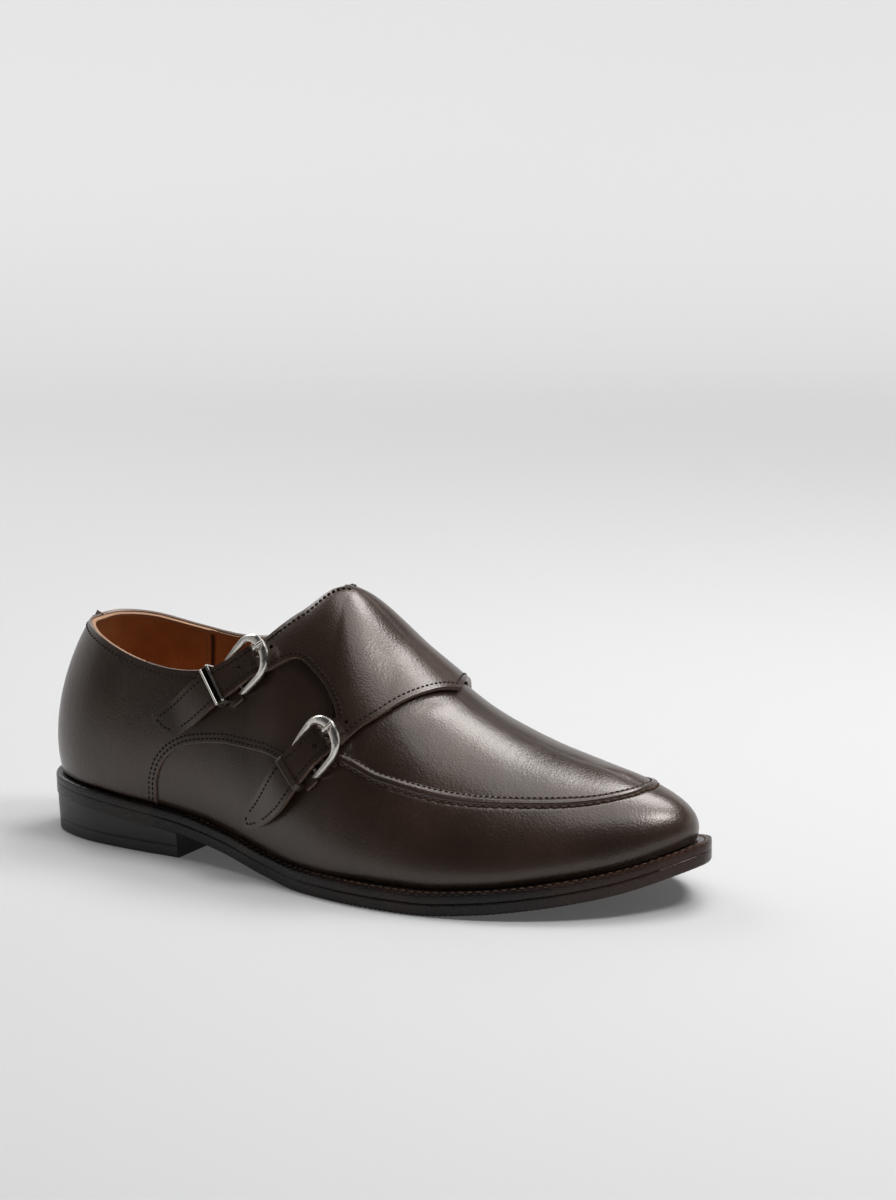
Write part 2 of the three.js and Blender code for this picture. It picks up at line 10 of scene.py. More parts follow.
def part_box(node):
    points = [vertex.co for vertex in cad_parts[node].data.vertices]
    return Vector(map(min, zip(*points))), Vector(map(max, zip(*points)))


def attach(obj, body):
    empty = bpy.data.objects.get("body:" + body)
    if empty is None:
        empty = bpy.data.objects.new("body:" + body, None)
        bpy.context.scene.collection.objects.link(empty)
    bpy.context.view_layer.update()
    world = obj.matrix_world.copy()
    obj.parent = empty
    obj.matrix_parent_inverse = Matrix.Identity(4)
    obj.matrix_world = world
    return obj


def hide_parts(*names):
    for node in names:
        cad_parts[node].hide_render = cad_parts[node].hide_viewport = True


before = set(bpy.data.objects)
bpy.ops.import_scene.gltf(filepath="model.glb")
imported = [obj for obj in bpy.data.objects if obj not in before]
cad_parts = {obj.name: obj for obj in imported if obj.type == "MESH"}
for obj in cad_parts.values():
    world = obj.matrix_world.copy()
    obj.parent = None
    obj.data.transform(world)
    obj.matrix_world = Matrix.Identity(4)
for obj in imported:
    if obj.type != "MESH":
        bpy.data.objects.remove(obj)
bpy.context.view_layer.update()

# ------------------------------------------------------------------ outsole
# 5 mm of leather cut to the sole's plan. Its edge is trimmed, inked nearly black and waxed, and
# under the forefoot the lower edge is scored with fine notches.
SIDES = LATERAL, MEDIAL = -1, 1
OUTSOLE = 5.0
BREAST = 80
SCORED = [172, 180, 262, 270]  # x where the notches start, are full, are still full and end
NOTCH_PITCH, NOTCH_DEPTH = 2.3, 0.45
NEARBY = 0.02  # part of a row to either side, over which a direction is taken


def table(names, rows):
    """Rows of numbers as one array for each named column."""
    return dict(zip(names.split(), np.array(rows, float).T))


OUTLINE = table("x lateral medial", [
    [0, 0, 0],
    [3.5, 12.5, 12.5],
    [12, 21.5, 22],
    [30, 29, 30],
    [55, 32.5, 32],
    [80, 34, 31],
    [105, 38, 28.5],
    [130, 45, 29],
    [155, 53, 34],
    [180, 57.5, 41.5],
    [205, 57.8, 47.5],
    [230, 53, 49.5],
    [253, 44, 46.5],
    [272, 32.5, 39],
    [286, 20.5, 30.5],
    [295.5, 9, 20.5],
    [300.5, 1, 11.5],
    [302, -5, 5],
])
SOLE_LINE = table("x z", [
    [0, 16.2],
    [25, 14.9],
    [50, 13.1],
    [80, 10.6],
    [105, 6.8],
    [130, 2.0],
    [150, 0],
    [178, 0],
    [206, 0],
    [230, 1.7],
    [255, 5.0],
    [278, 9.4],
    [302, 17.0],
])
TOE = len(OUTLINE["x"]) - 1


def cubic(a, b, c, d, f):
    """Catmull-Rom stretch: the cubic from b (f = 0) to c (f = 1) whose slope at either is half the
    difference of its neighbours."""
    square, cube = 2 * a - 5 * b + 4 * c - d, 3 * b - a - 3 * c + d
    return 0.5 * (2 * b + (c - a) * f + square * f**2 + cube * f**3)


def through(rows, s, beyond=None):
    """Catmull-Rom curve through rows at whole s. Past either end come the rows of beyond in reverse,
    which closes heel and toe round the middle line."""
    last = len(rows) - 1
    beyond = rows if beyond is None else beyond
    padded = np.concatenate([beyond[3:0:-1], rows, beyond[last - 1:last - 4:-1]])
    i = np.clip(np.floor(s), -1, last).astype(int)
    f = s - i
    return cubic(*[padded[i + 3 + k] for k in (-1, 0, 1, 2)], f)


def sole_height(x):
    """Height of the outsole's lower face: cubic stretches whose slope at a row is the harmonic mean
    of the slopes on its two sides, or level where the line turns."""
    at, z = SOLE_LINE["x"], SOLE_LINE["z"]
    slope = np.diff(z) / np.diff(at)
    before, after = slope[:-1], slope[1:]
    turns = before * after <= 0
    inner = np.where(turns, 0, 2 * before * after / np.where(turns, 1, before + after))
    tangent = np.concatenate([slope[:1], inner, slope[-1:]])
    k = np.clip(np.searchsorted(at, x) - 1, 0, len(at) - 2)
    h = at[k + 1] - at[k]
    u = (x - at[k]) / h
    keep = (1 + 2 * u) * (1 - u)**2
    bend = h * (u * (1 - u)**2 * tangent[k] + u * u * (u - 1) * tangent[k + 1])
    return keep * z[k] + (1 - keep) * z[k + 1] + bend


def sole_top(x):
    """Height of the outsole's upper face."""
    return sole_height(x) + OUTSOLE


def plan(rows, s, side, inset=0.0):
    """x and y of a plan outline, moved inward by inset, square to the outline's direction."""
    outer, inner = -rows["lateral"], rows["medial"]
    own, other = (outer, inner) if side == LATERAL else (inner, outer)
    x0, y0 = through(rows["x"], s - NEARBY), through(own, s - NEARBY, other)
    x1, y1 = through(rows["x"], s + NEARBY), through(own, s + NEARBY, other)
    run = np.hypot(x1 - x0, y1 - y0)
    x, y = through(rows["x"], s), through(own, s, other)
    return x + side * (y1 - y0) / run * inset, y - side * (x1 - x0) / run * inset


# The frame's outsole begins at the heel's back and reaches outward to its widest place.
CORNER = np.array(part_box("outsole")[0]) * 1000
WIDEST = plan(OUTLINE, np.arange(3 * TOE + 1) / 3, LATERAL)[1].min()
ORIGIN = np.array([CORNER[0], CORNER[1] - WIDEST, 0])


def quads(rows, columns, start=0, turned=False):
    """Corner numbers of the four-sided faces between neighbours of a grid of points."""
    a = start + np.arange(rows - 1)[:, None] * columns + np.arange(columns - 1)
    corners = np.stack([a, a + columns, a + columns + 1, a + 1], -1).reshape(-1, 4)
    return corners[:, ::-1] if turned else corners


def add_piece(name, points, faces, material, slot=None, replaces=(), crease=35, mark=None):
    """Closed mesh from points in millimetres and blocks of faces. Six times its volume is the sum of
    the triple products of its triangles: if that is negative, all faces are turned round. Points
    that coincide are welded, and a quad with one side shrunk becomes a triangle. A mark is a number
    for each point that the material can read."""
    volume = 0
    for block in faces:
        for k in range(1, block.shape[1] - 1):
            a, b, c = (points[block[:, j]] for j in (0, k, k + 1))
            volume += np.einsum("ij,ij->", a, np.cross(b, c))
    turn = -1 if volume < 0 else 1
    _, first, where = np.unique(np.round(points, 4), axis=0, return_index=True, return_inverse=True)
    kept = []
    for block in faces:
        corners = where.reshape(-1)[block][:, ::turn]
        same = corners == np.roll(corners, -1, axis=1)
        kept += corners[~same.any(axis=1)].tolist()
        for k in range(4 if corners.shape[1] == 4 else 0):
            shrunk = same[:, k] & (same.sum(axis=1) == 1)
            kept += np.roll(corners[shrunk], -k, axis=1)[:, 1:].tolist()
    mesh = bpy.data.meshes.new(name)
    mesh.from_pydata(((points[first] + ORIGIN) / 1000).tolist(), [], kept)
    mesh.shade_smooth()
    mesh.set_sharp_from_angle(angle=math.radians(crease))
    if mark is not None:
        mesh.attributes.new("mark", "FLOAT", "POINT").data.foreach_set("value", mark[first])
    mesh.materials.append(material)
    piece = bpy.data.objects.new(name, mesh)
    bpy.context.scene.collection.objects.link(piece)
    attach(piece, "root")
    if replaces:
        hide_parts(*replaces)
    return piece


def swept(rings, ends=()):
    """Points and faces of a body from rings of points, each of which repeats its first point at its
    end. Ends names the rings, 0 or -1, that a flat face closes."""
    count, around = rings.shape[:2]
    caps = {0: np.arange(around - 1), -1: count * around - 2 - np.arange(around - 1)}
    return rings.reshape(-1, 3), [quads(count, around), *[caps[end][None] for end in ends]]


def slab(rows, s, insets, shares, low, high, capped=False):
    """A flat layer as rings of points, one at each s: up the outer edge, whose points are inset and
    stand at shares of the height, straight across the top, down the inner edge and back below. A
    capped layer ends in one flat face."""
    walls = []
    for side in SIDES:
        x, y = plan(rows, s[:, None], side, insets)
        if capped:
            x[-1] = through(rows["x"], s[-1])
        walls.append(np.stack([x, y, low(x) + shares * (high(x) - low(x))], -1))
    outer, inner = walls
    w = np.linspace(0, 1, 10)[1:-1, None]
    top = outer[:, None, -1] * (1 - w) + inner[:, None, -1] * w
    under = inner[:, None, 0] * (1 - w) + outer[:, None, 0] * w
    rings = np.concatenate([outer, top, inner[:, ::-1], under, outer[:, :1]], axis=1)
    return swept(rings, [-1] if capped else [])


class Shade:
    """One output of a node in a material. Arithmetic on it adds Math nodes."""

    def __init__(self, tree, socket):
        self.tree, self.socket = tree, socket

    def add(self, kind, sockets, out=0, **settings):
        """New node of a kind: its settings first, then its sockets' values or links."""
        node = self.tree.nodes.new(kind)
        for name, value in settings.items():
            setattr(node, name, value)
        for name, value in sockets.items():
            if isinstance(value, Shade):
                self.tree.links.new(value.socket, node.inputs[name])
            else:
                node.inputs[name].default_value = value
        return Shade(self.tree, node.outputs[out])

    def math(self, operation, *values):
        """Math node of this operation on the values."""
        return self.add("ShaderNodeMath", dict(enumerate(values)), operation=operation)

    def __add__(self, other):
        return self.math("ADD", self, other)

    def __sub__(self, other):
        return self.math("SUBTRACT", self, other)

    def __rsub__(self, other):
        return self.math("SUBTRACT", other, self)

    def __mul__(self, other):
        return self.math("MULTIPLY", self, other)

    __radd__, __rmul__ = __add__, __mul__

    def noise(self, scale, detail=2.0, roughness=0.5):
        """Noise at this place, with so many waves to the metre."""
        return self.add("ShaderNodeTexNoise", {
            "Vector": self, "Scale": scale, "Detail": detail, "Roughness": roughness})

    def stretched(self, x, y, z):
        """This place times a factor for each axis; a factor under 1 draws a pattern out."""
        return self.add("ShaderNodeMapping", {"Vector": self, "Scale": (x, y, z)})

    def mix(self, low, high):
        """Colour between low and high by this value."""
        return self.add("ShaderNodeMix", {"Factor": self, 6: low, 7: high}, out=2, data_type="RGBA")

    def ramp(self, low, high):
        """0 below low, 1 above high, smooth between."""
        return self.add("ShaderNodeMapRange", {
            "Value": self, "From Min": low, "From Max": high}, interpolation_type="SMOOTHSTEP")


def finish(name, paint, **constants):
    """Material whose varying sockets come from paint(at), at being the object coordinates in metres;
    a key "bump" holds a height in metres. Constants are set on the shader itself."""
    material = bpy.data.materials.new(name)
    material.use_nodes = True
    tree = material.node_tree
    shader = tree.nodes["Principled BSDF"]
    coordinates = tree.nodes.new("ShaderNodeTexCoord")
    at = Shade(tree, coordinates.outputs["Object"])
    varying = paint(at)
    height = varying.pop("bump", None)
    if height is not None:
        varying["Normal"] = at.add("ShaderNodeBump", {
            "Strength": 1.0, "Distance": 1.0, "Height": height})
    for socket, value in varying.items():
        tree.links.new(value.socket, shader.inputs[socket])
    for socket, value in constants.items():
        shader.inputs[socket.replace("_", " ")].default_value = value
    return material


def inked_edge(at):
    """Near-black wax over leather fibres that run level round the edge, redder where it is rubbed and
    towards the toe."""
    fibres = at.stretched(0.12, 0.12, 1).noise(2600, 3)
    rub = at.noise(45, 2).ramp(0.45, 0.75)
    toe = at.add("ShaderNodeSeparateXYZ", {"Vector": at}).ramp(0.085, 0.14)
    warm = rub * 0.35 + toe * 0.6
    return {
        "Base Color": warm.mix((0.007, 0.005, 0.0045, 1), (0.045, 0.020, 0.013, 1)),
        "Roughness": fibres * 0.2 + 0.18,
        "bump": fibres * 0.00011,
    }


sole_edge = finish("sole_edge_waxed", inked_edge, Specular_IOR_Level=0.3)
along_sole = np.linspace(0, TOE, TOE * 56 + 1)
EDGE_SHARES = np.array([0, 0.03, 0.1, 0.2, 0.8, 0.93, 1.0])
EDGE_INSETS = np.array([1.1, 0.5, 0.22, 0.06, 0.0, 0.06, 0.3])
edge_x = through(OUTLINE["x"], along_sole)
scored = np.interp(edge_x, SCORED, [0, 1, 1, 0])
notch = NOTCH_DEPTH * scored * (np.cos(2 * np.pi * edge_x / NOTCH_PITCH) > 0.2)
trimmed = np.interp(edge_x, [BREAST - 14, BREAST + 4], [0.25, 1])
insets = EDGE_INSETS * trimmed[:, None] + notch[:, None] * (EDGE_SHARES < 0.15)
add_piece("outsole_leather", *slab(OUTLINE, along_sole, insets, EDGE_SHARES, sole_height, sole_top),
          sole_edge, "sole_edge", ["outsole"])

# ------------------------------------------------------------------ heel
# Lifts of leather pegged on each other, scoured flush, blackened and waxed, so that only faint
# lines tell them apart; the lowest is a harder top lift. The front face, the breast, is square.
TOP_LIFT = 5.0
HEEL_ROW = 5  # of the sole's outline, where the breast stands
HEEL_WAIST, HEEL_TAPER, TAPER_POWER = 0.45, 0.35, 1.5
LIFT_LINES, LINE_HALF, LINE_DEPTH = np.array([0.36, 0.7]), 0.025, 0.03


def stacked(at):
    """Black wax with level fibres and a slight polish that comes and goes."""
    fibres = at.stretched(0.1, 0.1, 1).noise(2200, 3)
    cloud = at.noise(60, 2)
    return {
        "Base Color": cloud.ramp(0.35, 0.8).mix((0.007, 0.006, 0.006, 1), (0.016, 0.013, 0.012, 1)),
        "Roughness": cloud * 0.16 + fibres * 0.12 + 0.22,
        "bump": fibres * 0.00009,
    }


def rubbery(at):
    """Matt black with a fine grain."""
    grain = at.noise(2500, 2)
    return {"Base Color": grain.mix((0.008, 0.008, 0.008, 1), (0.02, 0.019, 0.018, 1)),
            "Roughness": grain * 0.2 + 0.42, "bump": grain * 0.00005}


heel_wax = finish("heel_stack_waxed", stacked, Specular_IOR_Level=0.45)
heel_black = finish("top_lift_black", rubbery)
along_heel = np.linspace(0, HEEL_ROW, HEEL_ROW * 24 + 1)


def at_height(z):
    """Height of a level face."""
    return lambda x: z + 0 * x


beside_lines = [LIFT_LINES + offset for offset in (-LINE_HALF, 0, LINE_HALF)]
shares = np.sort(np.concatenate([np.linspace(0, 1, 13), *beside_lines]))
lines = np.clip(1 - np.abs(shares[:, None] - LIFT_LINES) / LINE_HALF, 0, 1).max(axis=1)
waist = HEEL_WAIST + HEEL_TAPER * (1 - shares)**TAPER_POWER
insets = waist + LINE_DEPTH * lines + 0.25 * (shares < 0.01)
# The lifts are sunk a hair into the top lift and end a hair below the outsole.
points, faces = slab(OUTLINE, along_heel, insets, shares, at_height(TOP_LIFT - 0.05),
                     lambda x: sole_height(x) - 0.02, capped=True)
add_piece("heel_lifts", points, faces, heel_wax, "heel_leather", ["heel_stack"])
shares = np.array([0, 0.06, 0.15, 0.3, 0.7, 0.95, 1])
insets = np.array([1.6, 1.1, 0.92, 0.86, 0.8, 0.8, 0.95])
points, faces = slab(OUTLINE, along_heel, insets, shares, at_height(0), at_height(TOP_LIFT), capped=True)
add_piece("heel_top_lift", points, faces, heel_black, "heel_rubber", ["top_lift"])

# ------------------------------------------------------------------ welt
# A flat leather strip sewn round the upper's foot, its top pressed between the stitches by a hot
# wheel. Lockstitches hold it to the outsole from the breast round the toe.
WELT = 3.8
WELT_REACH = 13
WELT_STITCH = 3.4
WELT_INSET = 2.6
WHEEL_DEPTH = 0.28
around_s = np.concatenate([along_sole, along_sole[-2:0:-1]])
around_side = np.concatenate([np.full(len(along_sole), LATERAL), np.full(len(along_sole) - 2, MEDIAL)])


def round_sole(inset):
    """x, y of the closed line round the sole at an inset, from the heel's back outward to the toe."""
    outer, inner = (plan(OUTLINE, around_s, side, inset) for side in SIDES)
    return np.where(around_side == LATERAL, outer, inner)


def lengths(path):
    """Distance along a path to each of its points."""
    return np.concatenate([[0], np.cumsum(np.linalg.norm(np.diff(path, axis=0), axis=1))])


WELT_EDGE = np.array([  # inset, height
    [0.25, 0], [0.02, 0.25], [0, 1.2], [0, 2.9], [0.2, 3.5], [0.75, 3.78], [1.6, WELT], [3.2, WELT],
    [WELT_REACH, WELT], [WELT_REACH, 0],
])
edge_line = np.stack(round_sole(0.0), -1)
wheel = 0.5 + 0.5 * np.cos(2 * np.pi * lengths(edge_line) / WELT_STITCH)
pressed = WHEEL_DEPTH * wheel**3 * np.interp(edge_line[:, 0], [BREAST - 10, BREAST + 10], [0, 1])
loops = []
for inset, rise in WELT_EDGE:
    x, y = round_sole(inset)
    on_top = rise > 3.6 and inset < 3
    loops.append(np.stack([x, y, sole_top(x) + rise - on_top * pressed], -1))
rings = np.stack([*loops, loops[0]], axis=1)
add_piece("welt_strip", *swept(np.concatenate([rings, rings[:1]])), sole_edge, "sole_edge", ["welt"])


def along(values, walked, where):
    """Values along a path, known at the distances walked, at other distances."""
    return np.stack([np.interp(where, walked, column) for column in values.T], -1)


def unit(vectors):
    """Vectors made one long."""
    return vectors / np.linalg.norm(vectors, axis=-1, keepdims=True)


def stitches(path, normals, pitch, length, width, bow=0.12):
    """Thread seen between its holes: at every pitch along the path a rounded grain of the given
    length and width, its ends bowed down into the leather. Returns points and faces of all."""
    walked = lengths(path)
    if walked[-1] < pitch:
        return np.zeros((0, 3)), []
    middles = np.arange(pitch / 2, walked[-1], pitch)
    centre = along(path, walked, middles)
    ahead = unit(along(path, walked, middles + 0.4) - along(path, walked, middles - 0.4))
    up = along(normals, walked, middles)
    up = unit(up - (up * ahead).sum(1, keepdims=True) * ahead)
    beside = np.cross(ahead, up)
    a = np.array([-1, -0.85, -0.45, 0, 0.45, 0.85, 1])[:, None]
    fat = np.sqrt(1 - (0.97 * a)**2)
    angle = np.arange(7) * np.pi / 3
    run = a * length / 2 + 0 * angle
    wide = fat * width / 2 * np.cos(angle)
    high = fat * width / 2 * np.sin(angle) - bow * a**2
    points = (centre[:, None, None] + ahead[:, None, None] * run[..., None]
              + beside[:, None, None] * wide[..., None] + up[:, None, None] * high[..., None])
    one, blocks = swept(points[0], (0, -1))
    starts = np.arange(len(points))[:, None, None] * len(one)
    return points.reshape(-1, 3), [(starts + block).reshape(-1, block.shape[1]) for block in blocks]


def merge(*bodies):
    """Several bodies as one list of points and one of blocks of faces."""
    points, faces, start = [], [], 0
    for body, blocks in bodies:
        points.append(body)
        faces += [block + start for block in blocks]
        start += len(body)
    return np.concatenate(points), faces


def sew(name, runs, thread):
    """Joins several runs of stitches in one piece."""
    add_piece(name, *merge(*runs), thread, crease=80)


def waxed_thread(dark, light):
    """Paint of a twisted thread between two colours."""
    def paint(at):
        twist = at.noise(900, 1)
        return {"Base Color": twist.mix(dark, light), "Roughness": twist * 0.2 + 0.62}
    return paint


brown_thread = finish("thread_brown", waxed_thread((0.050, 0.028, 0.019, 1), (0.12, 0.070, 0.047, 1)),
                      Specular_IOR_Level=0.2)
x, y = round_sole(WELT_INSET)
welt_line = np.stack([x, y, sole_top(x) + WELT + 0.02], -1)
sewn = edge_line[:, 0] > BREAST + 4
upward = np.tile([0.0, 0, 1], (sewn.sum(), 1))
sew("welt_stitches", [stitches(welt_line[sewn], upward, WELT_STITCH, 2.5, 0.75)], brown_thread)

# ------------------------------------------------------------------ insole
# Leather board that the upper is lasted over, covered with a thin sock of the lining leather.
GAP = 0.3  # between neighbours that touch
FOOT = OUTSOLE + GAP + WELT + GAP
WALL = 2.2
INSOLE = 3.0
RIBS = table("x lateral medial top_x top_lateral top_medial z_lateral z_medial", [
    [3, 0, 0, 21, 0, 0, 92, 92],
    [8, 14, 14.5, 23.5, 11, 11, 91.5, 92],
    [23, 24, 25, 35, 20, 20.5, 87.5, 90],
    [45, 28.5, 29, 54.5, 25, 25.5, 81.5, 85.5],
    [70, 30.5, 28.5, 76, 27, 27, 78.5, 82.5],
    [95, 33.5, 26, 96, 26, 26.5, 80.5, 84.5],
    [120, 39.5, 25, 115, 21.5, 22.5, 90, 92],
    [143, 46.5, 28.5, 132, 12.5, 14.5, 103, 103.5],
    [165, 51.5, 34.5, 145.5, -2.7, 2.7, 110.5, 110.5],
    [188, 53, 41, 171, -4.7, 4.7, 90, 90],
    [211, 51.5, 44.5, 197, -5.6, 5.6, 71, 71],
    [234, 46, 44, 222, -5.9, 5.9, 59.5, 59.5],
    [256, 36.5, 39, 244, -5.9, 5.9, 53, 53],
    [276, 24, 31, 258.5, -5.7, 5.7, 50, 50],
    [290.5, 9, 19.5, 265.5, -5.3, 5.3, 48, 48],
    [296.5, -5, 5, 268, -5, 5, 47.2, 47.2],
])
LAST_RIB = len(RIBS["x"]) - 1
THROAT = 8  # the rib from which the last is closed along the middle line


def marked(at):
    """The number with which a piece's points are marked."""
    return at.add("ShaderNodeAttribute", {}, out=2, attribute_name="mark")


def tan_leather(at):
    """Orange-tan lining leather: cloudy dye, small pores and a dull nap. Where its mark is 1 it is
    cut, with a paler, furry edge, and where the mark is -1 it is painted dark as painted shade beside a seam."""
    cloud = at.noise(38, 3)
    pores = at.noise(1500, 3)
    fluff = at.noise(3500, 3)
    mark = marked(at)
    dyed = cloud.ramp(0.3, 0.75).mix((0.34, 0.135, 0.045, 1), (0.50, 0.220, 0.080, 1))
    edge_tone = fluff.mix((0.30, 0.145, 0.07, 1), (0.55, 0.33, 0.19, 1))
    # Painted shade: where the mark is -1, just ahead of each lining seam, the colour is darkened.
    shaded = (mark * -1).ramp(0.2, 0.8).mix(dyed, (0.055, 0.020, 0.008, 1))
    shown = mark.ramp(0.25, 0.75).mix(shaded, edge_tone)
    return {
        "Base Color": shown,
        "Roughness": pores * 0.2 + 0.5,
        "bump": pores * 0.00012 + cloud * 0.0004 + mark.ramp(0.2, 0.8) * fluff * 0.0003,
    }


lining_tan = finish("lining_tan", tan_leather)
along_rib = np.linspace(0, LAST_RIB, LAST_RIB * 10 + 1)
shares = np.array([0, 0.15, 0.85, 1])
points, faces = slab(RIBS, along_rib, WALL + np.array([0.7, 0.5, 0.5, 0.9]), shares,
                     lambda x: sole_height(x) + FOOT, lambda x: sole_height(x) + FOOT + INSOLE)
add_piece("insole_sock", points, faces, lining_tan, "lining_leather", ["insole"])

# ------------------------------------------------------------------ lining
# Tan leather glued inside the upper, 1 mm thick in the quarters and half that in the vamp, its raw
# edge just below the collar's. The rear lining overlaps the front one in a sewn seam on each side.
WALLS = table("bulge rise forward spread drop", [
    [5, 22, -12, 0, 17],
    [5, 22, -9, 5, 17],
    [4.5, 22, -4, 5, 18],
    [4, 20, -2, 3, 18],
    [4, 18, 0, 4, 18],
    [5, 17, 0, 7, 16],
    [5, 19, 1, 13, 17],
    [5, 22, 3, 19, 13],
    [5, 25, 4, 22, 1.2],
    [5, 22, 5, 26, 1.2],
    [5, 19, 6, 28, 1.4],
    [4.5, 16, 6, 29, 1.4],
    [4.5, 14, 12, 24, 1.6],
    [4, 13, 16, 16, 2.2],
    [4, 12, 19, 8, 3.2],
    [4, 12, 20, 0, 4],
])
OUTER_LEATHER, VAMP_LEATHER = 1.15, 1.75
LINING_SEAM, OVERLAP = 3.3, 0.55
LINING_THINS = (68, 76)  # x over which it thins, where the vamp begins
RAW_EDGE = 2.4


def last_point(side, s, t):
    """Place on the last: along rib s the Bezier curve from the foot (t = 0), leaving it outward by
    bulge and up by rise, to the collar's edge or the middle line (t = 1), reached from forward,
    spread and drop."""
    s, t = np.broadcast_arrays(np.asarray(s, float), np.asarray(t, float))
    wall = {name: through(column, s) for name, column in WALLS.items() if name != "spread"}
    foot_x, foot_y = plan(RIBS, s, side)
    low_x, low_y = plan(RIBS, s, side, -wall["bulge"])
    base = sole_height(foot_x) + FOOT
    own, other = -RIBS["top_lateral"], RIBS["top_medial"]
    z_own, z_other = RIBS["z_lateral"], RIBS["z_medial"]
    if side == MEDIAL:
        own, other, z_own, z_other = other, own, z_other, z_own
    middle = (RIBS["top_medial"] - RIBS["top_lateral"]) / 2
    top_x = through(RIBS["top_x"], s)
    top_y = np.where(s >= THROAT, through(middle, s), through(own, s, other))
    level = (RIBS["z_lateral"] + RIBS["z_medial"]) / 2
    top_z = np.where(s >= THROAT, through(level, s), through(z_own, s, z_other))
    spread = through(side * WALLS["spread"], s, -side * WALLS["spread"])
    handles = (
        (foot_x, low_x, top_x + wall["forward"], top_x),
        (foot_y, low_y, top_y + spread, top_y),
        (base, base + wall["rise"], top_z - wall["drop"], top_z),
    )
    share = ((1 - t)**3, 3 * t * (1 - t)**2, 3 * t * t * (1 - t), t**3)
    return np.stack([sum(w * p for w, p in zip(share, axis)) for axis in handles], -1)


def last_normal(side, s, t):
    """Outward normal: the cross product of the directions along and up the last."""
    s, t = np.broadcast_arrays(np.asarray(s, float), np.asarray(t, float))
    up = last_point(side, s, np.minimum(t + 0.004, 1)) - last_point(side, s, t - 0.004)
    run = last_point(side, s + NEARBY, t) - last_point(side, s - NEARBY, t)
    return unit(-side * np.cross(run, up))


def sheet(patches):
    """One open sheet from patches (side, grid of s and t), its faces turned outward, with the points
    that neighbours share welded."""
    points, faces, start = [], [], 0
    for side, grid in patches:
        s, t = grid[..., 0], grid[..., 1]
        shared = (t > 0.9999) & (s >= THROAT) | (s < 1e-6) | (s > LAST_RIB - 1e-6)
        placed = np.where(shared[..., None], last_point(LATERAL, s, t), last_point(side, s, t))
        i, j = grid.shape[0] // 2, grid.shape[1] // 2
        across = np.cross(placed[i + 1, j] - placed[i, j], placed[i, j + 1] - placed[i, j])
        turned = across @ last_normal(side, s[i, j], t[i, j]) < 0
        faces.append(quads(*grid.shape[:2], start, turned))
        points.append(placed.reshape(-1, 3))
        start += len(points[-1])
    points, faces = np.concatenate(points), np.concatenate(faces)
    _, first, where = np.unique(np.round(points, 3), axis=0, return_index=True, return_inverse=True)
    return points[first], where.reshape(-1)[faces]


def sheet_normals(points, faces):
    """At each point the sum of its faces' normals, weighted by area, made one long."""
    a, b, c, d = (points[faces[:, k]] for k in range(4))
    across = np.cross(c - a, d - b)
    normals = np.zeros_like(points)
    for k in range(4):
        np.add.at(normals, faces[:, k], across)
    return unit(normals)


def open_edges(faces):
    """Numbers of both ends of each edge that only one face of a sheet has."""
    edges = np.concatenate([faces[:, [k, (k + 1) % 4]] for k in range(4)])
    _, where, times = np.unique(np.sort(edges, axis=1), axis=0, return_inverse=True, return_counts=True)
    return edges[times[where.reshape(-1)] == 1].T


def thicken(points, faces, low, high):
    """Body between two copies of a sheet, moved along its normals to heights low and high, and a wall
    along each open edge."""
    normals = sheet_normals(points, faces)
    count = len(points)
    p, q = open_edges(faces)
    rim = np.stack([q, p, p + count, q + count], -1)
    lift = [normals * np.broadcast_to(h, count)[:, None] for h in (high, low)]
    both = np.concatenate([points + lift[0], points + lift[1]])
    return both, [np.concatenate([faces, faces[:, ::-1] + count, rim])]


def grid_of(s, t):
    """Every pair of the given s and t, s by rows."""
    return np.stack(np.meshgrid(s, t, indexing="ij"), -1)


def ease(x, low, high):
    """0 below low, 1 above high, smooth between."""
    u = np.clip((x - low) / (high - low), 0, 1)
    return u * u * (3 - 2 * u)


def distance_to(points, line):
    """Distance of each point to the nearest place of a line."""
    return np.min([np.linalg.norm(points - place, axis=1) for place in line], axis=0)


up_wall = np.concatenate([np.linspace(0, 0.975, 54), [0.985, 0.993]])
grid = grid_of(np.linspace(0, LAST_RIB, LAST_RIB * 16 + 1), up_wall)
points, faces = sheet([(LATERAL, grid), (MEDIAL, grid)])
seams = [last_point(side, LINING_SEAM, np.linspace(0, 1, 80)) for side in SIDES]
seam_x = [np.interp(points[:, 2], line[:, 2], line[:, 0]) for line in seams]
ahead = points[:, 0] - np.where(points[:, 1] < 0, *seam_x)
overlap = OVERLAP * (1 - ease(ahead, -0.4, 0.4))
collar = [last_point(side, np.linspace(0, 7, 200), 1.0) for side in SIDES]
nearest = distance_to(points, np.concatenate(collar))
# Painted shade: a band just ahead of each seam, marked -1, that the lining's colour darkens.
shade = ease(ahead, -0.6, 0.4) * ease(ahead, 2.4, 1.0)
cut_edge_and_painted_shade = np.where(nearest < RAW_EDGE, ease(nearest, RAW_EDGE, RAW_EDGE / 2), -shade)
thin = (VAMP_LEATHER - OUTER_LEATHER) * ease(points[:, 0], *LINING_THINS)
points, faces = thicken(points, faces, -WALL - overlap, -OUTER_LEATHER - thin)
add_piece("lining_tan", points, faces, lining_tan, "lining_leather", mark=np.tile(cut_edge_and_painted_shade, 2))
up_wall = np.linspace(0.1, 0.965, 80)
tan_thread = finish("thread_tan", waxed_thread((0.20, 0.09, 0.04, 1), (0.42, 0.23, 0.12, 1)),
                    Specular_IOR_Level=0.2)
runs = []
for side in SIDES:
    inward = -last_normal(side, LINING_SEAM - 0.1, up_wall)
    row = last_point(side, LINING_SEAM - 0.1, up_wall) + inward * (WALL + 0.56)
    runs.append(stitches(row, inward, 2.4, 1.7, 0.6))
sew("lining_stitches", runs, tan_thread)

